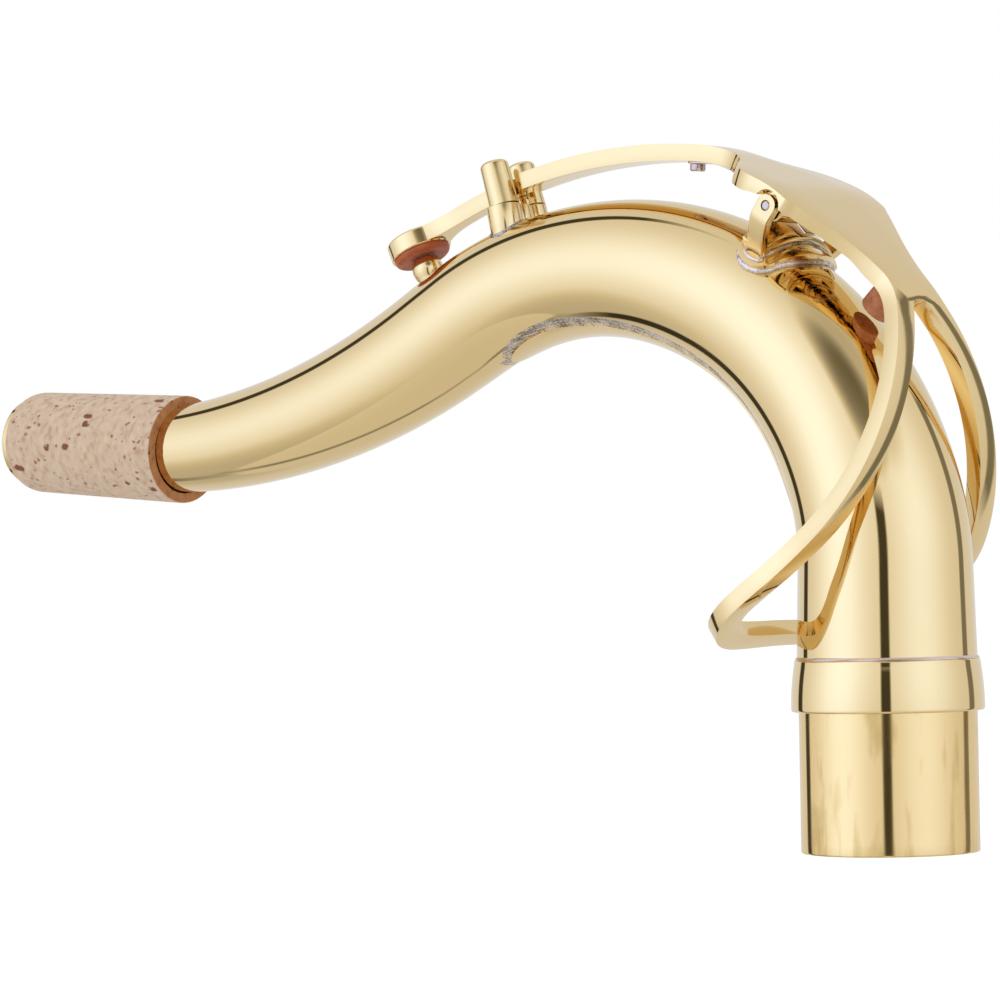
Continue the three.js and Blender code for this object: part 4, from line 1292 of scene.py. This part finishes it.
@dataclass
class Saddle:
    """The hinge saddle: a band soldered over the tube, its two ears bowed up to the hinge rod."""

    key: Key
    place: float = FALL_START - 4.3
    lobe: float = 3.0
    lobe_out: float = 8.0
    bulge: float = 1.4
    low: float = 0.65
    high: float = 1.5
    measured: float = 0.6
    strap_high: float = 2.6
    strap_back: float = 2.3
    strap_back_high: float = 3.3
    ear_half: float = 13.1
    ear_thickness: float = 1.4
    ear_width: float = 2.9
    head: float = 1.8
    bore_play: float = 0.03
    foot_angle: float = 40
    knee_out: float = 12
    knee_up: float = 14.2

    def __post_init__(self) -> None:
        """Finds the saddle's frame and the hinge in it."""
        self.frame = TUBE.frame(self.place)
        self.hinge = self.frame.inverted() @ self.key.hinge
        self.tube = TUBE_SIZES.radius(self.place)
        self.foot_over = (self.tube + self.measured) * math.radians(self.foot_angle)

    def build(self) -> None:
        """Builds and dresses the band, the ears, their solder and the hinge rod."""
        band = self.band()
        ears = [self.ear(side) for side in (-1, 1)]
        piece = joined("saddle_band", [band, self.strap(), *ears])
        dress(piece, FITTING_BRASS, Body.NECK, "hinge_saddle", angle=32)
        self.solder()
        self.rod()

    def on_tube(self, over: float, along: float, height: float) -> Vector:
        """A point of the band: how far over the tube's side, along it and up from it."""
        place = self.place + along
        angle = over / (self.tube + self.measured)
        radius = TUBE_SIZES.radius(place) + height
        return TUBE.frame(place) @ Vector((math.sin(angle) * radius, math.cos(angle) * radius, 0))

    def rim(self, over: float, side: int) -> float:
        """How far the band reaches along the tube; it is fuller in the middle, toward the tenon."""
        past = abs(over) - self.lobe_out
        if past > 0:
            return side * math.sqrt(max(0.0, self.lobe ** 2 - past ** 2))
        fuller = self.bulge * (1 - (over / self.lobe_out) ** 2) ** 1.5
        return side * self.lobe - (fuller if side < 0 else 0.0)

    def band(self) -> Piece:
        """The band with its round lobes."""
        obj = grid("saddle_band", 60, 14)

        def law(co: Vector) -> Vector:
            flat = 0.55
            if abs(co.x) <= flat:
                over = co.x / flat * self.lobe_out
            else:
                turn = (abs(co.x) - flat) / (1 - flat) * math.pi / 2
                over = math.copysign(self.lobe_out + self.lobe * math.sin(turn), co.x)
            low, high = self.rim(over, -1), self.rim(over, 1)
            return self.on_tube(over, low + (high - low) * (co.y + 1) / 2, self.low)

        shaped(obj, law)
        mend(obj)
        thicken(obj, self.high - self.low, 1)
        return soften(obj, 0.3, 4)

    def strap(self) -> Piece:
        """The cross strap over the band's middle, from one ear's foot to the other's."""
        obj = grid("strap", 40, 6)
        reach = self.foot_over
        half = self.ear_width / 2
        rise = (self.strap_back_high - self.strap_high) / (self.strap_back + half)
        middle, wide = (self.strap_back - half) / 2, (self.strap_back + half) / 2
        shaped(obj, lambda co: self.on_tube(co.x * reach, middle + co.y * wide, self.high - 0.1))
        mend(obj)
        thicken(obj, 1, 1)
        inward = self.frame.inverted()

        def law(co: Vector) -> Vector:
            at = inward @ co
            over = self.high + 0.4 < at.xy.length - self.tube
            lift = self.strap_high + rise * (at.z + half) - self.high - 0.9 if over else 0.0
            at.xy = at.xy * (1 + lift / at.xy.length)
            return self.frame @ at

        shaped(obj, law)
        return soften(obj, 0.25)

    def ear(self, side: int) -> Piece:
        """One ear: a flat bar bowed up from its lobe, straight past the hinge, with a round drilled head."""
        turn = math.radians(self.foot_angle)
        foot = Vector((math.sin(turn), math.cos(turn))) * (self.tube + self.high - 0.3)
        straight = self.hinge.y - self.key.barrel_radius
        curve = bezier([(foot.x, foot.y), (self.knee_out, self.knee_up), (self.ear_half, straight)], 24)
        curve += [(self.ear_half, straight + (self.hinge.y + self.head - straight) * i / 16) for i in range(1, 17)]
        base = foot.y
        obj = grid("ear", 6, len(curve) - 1)
        steps = len(curve) - 1

        def law(co: Vector) -> Vector:
            x, y = curve[round((co.y + 1) / 2 * steps)]
            share = min(1.0, (y - base) / (self.hinge.y - base))
            half = self.ear_width / 2 + (self.head - self.ear_width / 2) * share
            past = y - self.hinge.y
            if past > 0:
                half = math.sqrt(max(0.0, self.head ** 2 - past ** 2))
            return Vector((x * side, y, self.hinge.z * share + half * co.x))

        shaped(obj, law)
        mend(obj, 1e-3)
        thicken(obj, self.ear_thickness, 1)
        reach = max(abs(vert.co.x) for vert in obj.data.vertices)
        if reach > self.ear_half + 0.1:
            for vert in obj.data.vertices:
                vert.co.x -= side * self.ear_thickness
        soften(obj, 0.22)
        hole = Matrix.Translation((0, self.hinge.y, self.hinge.z)) @ Matrix.Rotation(math.pi / 2, 4, "Y")
        cut(obj, pin("bore", self.key.rod_radius + self.bore_play, -20, 20, hole))
        return move(obj, self.frame)

    def solder(self) -> None:
        """The wiped solder along the band's rim, round the strap and round the ears' feet."""
        steps = 220
        rim = []
        for i in range(steps):
            turn = 2 * math.pi * i / steps
            over = (self.lobe_out + self.lobe) * math.cos(turn)
            past = abs(over) - self.lobe_out
            if past > 0:
                bend = math.pi / 2 - math.acos(min(1.0, past / self.lobe))
                over = math.copysign(self.lobe_out + self.lobe * math.sin(bend), over)
            rim.append((over, self.rim(over, 1 if math.sin(turn) >= 0 else -1)))
        self.run_bead("saddle_solder", rim, 0.3, (0.46, 0.46, 0.3), SADDLE_SOLDER_PAINTED_HIGHLIGHT)
        half = self.ear_width / 2
        reach = self.foot_over - 0.5
        seam = []
        for i in range(160):
            turn = 2 * math.pi * i / 160
            seam.append((reach * self.flattened(1.25 * math.cos(turn)), half * self.flattened(3.5 * math.sin(turn))))
        self.run_bead("strap_solder", seam, self.high + 0.1, (0.28, 0.28, 0.5), SADDLE_SOLDER_PAINTED_HIGHLIGHT)
        for side in (-1, 1):
            foot = []
            for i in range(72):
                turn = 2 * math.pi * i / 72
                foot.append((side * (self.foot_over + 0.3 + 0.75 * math.cos(turn)), (half + 0.05) * math.sin(turn)))
            name = f"ear_solder_{'left' if side < 0 else 'right'}"
            # The near ear's foot gets the pale solder as a painted highlight; the far foot keeps the plain grey solder.
            self.run_bead(name, foot, self.high + 0.12, (0.3, 0.24, 0.15), PALE_SOLDER_AND_PAINTED_HIGHLIGHT if side > 0 else SOLDER)

    @staticmethod
    def flattened(value: float) -> float:
        """A value kept between -1 and 1."""
        return max(-1.0, min(1.0, value))

    def run_bead(self, name: str, outline: Sequence[Point], height: float, size: tuple[float, float, float],
                 finish: Finish) -> None:
        """Runs a bead of solder along a closed outline on the tube.

        Args:
            name: The piece's name.
            outline: Distances over the tube's side and along it.
            height: The bead's middle over the tube.
            size: Half its width, half its height and how much they wander.
            finish: Its finish.
        """
        count = len(outline)
        path = []
        for i, (over, along) in enumerate(outline):
            point = self.on_tube(over, along, height)
            ahead = self.on_tube(*outline[(i + 1) % count], height) - self.on_tube(*outline[i - 1], height)
            up = (self.on_tube(over, along, height + 1) - point).normalized()
            path.append((point, ahead.normalized().cross(up), up))
        run = bead(name, path, *size)
        dress(run, finish, Body.NECK)

    def rod(self) -> None:
        """The hinge rod: a turned pin, flush and chamfered at one end, with a slotted head at the other."""
        r, end = self.key.rod_radius, self.ear_half
        profile = [(0, -end - 0.02), (r - 0.25, -end - 0.02), (r - 0.04, -end + 0.16), (r - 0.04, end + 0.3)]
        profile += [(1.2, end + 0.3), (1.25, end + 0.35), (1.25, end + 1.05), (1.1, end + 1.2), (0, end + 1.2)]
        obj = turned("rod", profile, 64)
        cut(obj, block("slot", (0.4, 4, 0.9), Matrix.Translation((0, 0, end + 1.2))))
        dress(obj, STEEL, Body.NECK, "hinge_rod", at=self.key.across_hinge())


# Camera, floor and light


@dataclass(frozen=True)
class Lamp:
    """A broad lamp behind the tent's cloth. Azimuths are in degrees from the camera's own."""

    azimuth: float
    elevation: float
    strength: float


@dataclass(frozen=True)
class Gap:
    """An upright dark gap in the cloth: half its width in degrees, its ends as heights of a unit direction."""

    azimuth: float
    half: float
    low: float
    high: float
    depth: float


@dataclass(frozen=True)
class Shade:
    """A soft round shade, full within its inner angle and gone beyond its outer one."""

    azimuth: float
    elevation: float
    inner: float
    outer: float
    depth: float


LAMPS = (Lamp(-62, 22, 0.42), Lamp(42, 14, 0.36), Lamp(-76, -16, 0.16))
GAPS = (Gap(-7, 5.5, -0.35, 0.34, 0.93), Gap(114, 5.5, -0.5, 0.62, 0.72), Gap(-133, 5.3, -0.72, 0.97, 0.93))
SHADES = (Shade(0, 44, 5, 23, 0.72), Shade(25, 54, 6, 30, 0.36), Shade(166, 33, 5, 50, 0.06))
TABLE_SHADE = Shade(-118, -50, 4, 36, 0.24)
CLOTH_FOLD = ((-180, -67), (-133, -57))
LAMP_FALLOFF = 4.0
TABLE_EDGE = (-0.8, -0.785)


def cosine(angle: float) -> float:
    """The cosine of an angle in degrees."""
    return math.cos(math.radians(angle))


@dataclass
class Studio:
    """The photograph's camera, a pale floor and a light tent with its lamps, gaps and shades."""

    azimuth: float = 40.0
    elevation: float = -0.75
    roll: float = 1.04
    focal_px: float = 4600
    distance: float = 707.8
    origin_u: float = 890.78
    origin_v: float = 852.0
    frame_px: float = 1000
    sensor: float = 36
    floor_low: float = 45

    def build(self) -> None:
        """Sets the camera, the floor and the light."""
        self.camera()
        self.floor()
        self.tent()
        bpy.context.scene.view_settings.view_transform = "Standard"

    def camera(self) -> None:
        """The camera at the photograph's viewing angle."""
        a, e, r = (math.radians(v) for v in (self.azimuth, self.elevation, self.roll))
        back = Vector((math.sin(a) * math.cos(e), -math.cos(a) * math.cos(e), math.sin(e)))
        right = Vector((math.cos(a), math.sin(a), 0))
        up = back.cross(right)
        side = right * math.cos(r) - up * math.sin(r)
        top = right * math.sin(r) + up * math.cos(r)
        turn = Matrix((side, top, back))
        half = self.frame_px / 2
        scale = self.distance / self.focal_px
        seen = Vector(((self.origin_u - half) * scale, -(self.origin_v - half) * scale, -self.distance))
        eye = -(turn.transposed() @ seen) * MM
        data = bpy.data.cameras.new("camera")
        data.lens = self.focal_px / self.frame_px * self.sensor
        data.sensor_width = self.sensor
        data.clip_end = 20
        camera = bpy.data.objects.new("camera", data)
        bpy.context.scene.collection.objects.link(camera)
        camera.matrix_world = Matrix.Translation(eye) @ turn.transposed().to_4x4()
        bpy.context.scene.camera = camera

    def floor(self) -> None:
        """A wide pale floor under the neck."""
        clear_selection()
        bpy.ops.mesh.primitive_plane_add(size=12, location=(0, 0, -self.floor_low * MM))
        floor = new_piece("floor")
        bpy.ops.object.transform_apply(location=True)
        material = bpy.data.materials.new("floor_paper")
        material.use_nodes = True
        tree = material.node_tree
        shader = tree.nodes["Principled BSDF"]
        shader.inputs["Base Color"].default_value = linear("f2f1ef")
        shader.inputs["Roughness"].default_value = 0.9
        rays = add_node(tree, "ShaderNodeLightPath")
        shader.inputs["Emission Color"].default_value = linear("ffffff")
        tree.links.new(grey(tree, rays.outputs["Is Camera Ray"], 0, 1, 0, 0.35), shader.inputs["Emission Strength"])
        clear = add_node(tree, "ShaderNodeBsdfTransparent").outputs[0]
        links = {0: rays.outputs["Is Glossy Ray"], 1: shader.outputs[0], 2: clear}
        mixed = add_node(tree, "ShaderNodeMixShader", links)
        tree.links.new(mixed.outputs[0], tree.nodes["Material Output"].inputs["Surface"])
        floor.data.materials.append(material)

    def tent(self) -> None:
        """The light tent as the world: bright cloth, broad lamps behind it, dark gaps, shades and one fold."""
        world = bpy.data.worlds.new("light_tent")
        bpy.context.scene.world = world
        world.use_nodes = True
        tree = world.node_tree
        tree.nodes.clear()
        where = add_node(tree, "ShaderNodeTexCoord").outputs["Generated"]
        split = add_node(tree, "ShaderNodeSeparateXYZ", {"Vector": where})
        flat = add_node(tree, "ShaderNodeCombineXYZ", {"X": split.outputs["X"], "Y": split.outputs["Y"], "Z": 0.0})
        level = add_node(tree, "ShaderNodeVectorMath", {0: flat.outputs[0]}, operation="NORMALIZE").outputs[0]

        def toward(azimuth: float, elevation: float = 0.0) -> tuple[float, float, float]:
            a = math.radians(azimuth + self.azimuth - 90)
            e = math.radians(elevation)
            return math.cos(a) * math.cos(e), math.sin(a) * math.cos(e), math.sin(e)

        def times(value: Socket | float, other: Socket | float) -> Socket:
            return maths(tree, "MULTIPLY", value, other)

        def darkened(value: Socket, dark: Socket) -> Socket:
            return times(value, maths(tree, "SUBTRACT", 1.0, dark))

        def nearness(source: Socket, direction: tuple[float, float, float]) -> Socket:
            links = {0: source, 1: direction}
            return add_node(tree, "ShaderNodeVectorMath", links, operation="DOT_PRODUCT").outputs["Value"]

        def shaded(value: Socket | float, shade: Shade) -> Socket:
            links = {"Value": nearness(where, toward(shade.azimuth, shade.elevation)), "From Min": cosine(shade.outer),
                     "From Max": cosine(shade.inner), "To Min": 1.0, "To Max": 1.0 - shade.depth}
            near = add_node(tree, "ShaderNodeMapRange", links, interpolation_type="SMOOTHSTEP").outputs["Result"]
            return times(value, near)

        height = split.outputs["Z"]
        light = grey(tree, height, -0.75, 0.05, 0.72, 0.8)
        for lamp in LAMPS:
            near = maths(tree, "MAXIMUM", nearness(where, toward(lamp.azimuth, lamp.elevation)), 0.0)
            light = maths(tree, "ADD", light, times(maths(tree, "POWER", near, LAMP_FALLOFF), lamp.strength))
        for gap in GAPS:
            sideways = nearness(level, toward(gap.azimuth))
            across = grey(tree, sideways, cosine(gap.half + 1.4), cosine(gap.half - 1), 0, 1)
            above = grey(tree, height, gap.low - 0.1, gap.low + 0.1, 0, 1)
            below = grey(tree, height, gap.high - 0.1, gap.high + 0.02, 1, 0)
            light = darkened(light, times(times(times(across, above), below), gap.depth))
        for shade in SHADES:
            light = shaded(light, shade)
        above_table = grey(tree, height, *TABLE_EDGE, 0, 1)
        light = darkened(light, times(above_table, maths(tree, "SUBTRACT", 1.0, shaded(1.0, TABLE_SHADE))))
        first, last = (Vector(toward(*ends)) for ends in CLOTH_FOLD)
        plane = first.cross(last).normalized()
        middle = (first + last).normalized()
        line = grey(tree, maths(tree, "ABSOLUTE", nearness(where, tuple(plane))), 0.02, 0.045, 1, 0)
        reach = grey(tree, nearness(where, tuple(middle)), cosine(22), cosine(12), 0, 0.6)
        light = darkened(light, times(line, reach))
        rays = add_node(tree, "ShaderNodeLightPath")
        strength = maths(tree, "MAXIMUM", light, rays.outputs["Is Camera Ray"])
        green = maths(tree, "ADD", grey(tree, light, 0.1, 0.3, 0.93, 0.99), grey(tree, light, 0.75, 1.25, 0, 0.18))
        blue = maths(tree, "ADD", grey(tree, light, 0.1, 0.3, 0.66, 0.96), grey(tree, light, 0.75, 1.25, 0, 0.66))
        tone = add_node(tree, "ShaderNodeCombineXYZ", {"X": 1.0, "Y": green, "Z": blue}).outputs[0]
        colour = add_node(tree, "ShaderNodeMix", {"Factor": rays.outputs["Is Glossy Ray"]}, data_type="RGBA")
        colour.inputs[6].default_value = (1, 1, 1, 1)
        tree.links.new(tone, colour.inputs[7])
        shade = add_node(tree, "ShaderNodeBackground", {"Color": colour.outputs[2], "Strength": strength})
        add_node(tree, "ShaderNodeOutputWorld", {"Surface": shade.outputs[0]})


def main() -> None:
    """Builds the studio and every piece."""
    logging.basicConfig(level=logging.INFO, format="%(name)s: %(message)s")
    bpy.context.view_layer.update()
    Studio().build()
    NeckTube().build()
    Tenon().build()
    key = Key()
    key.build()
    Pip(key).build()
    Guide().build()
    Saddle(key).build()


if __name__ == "__main__":
    main()
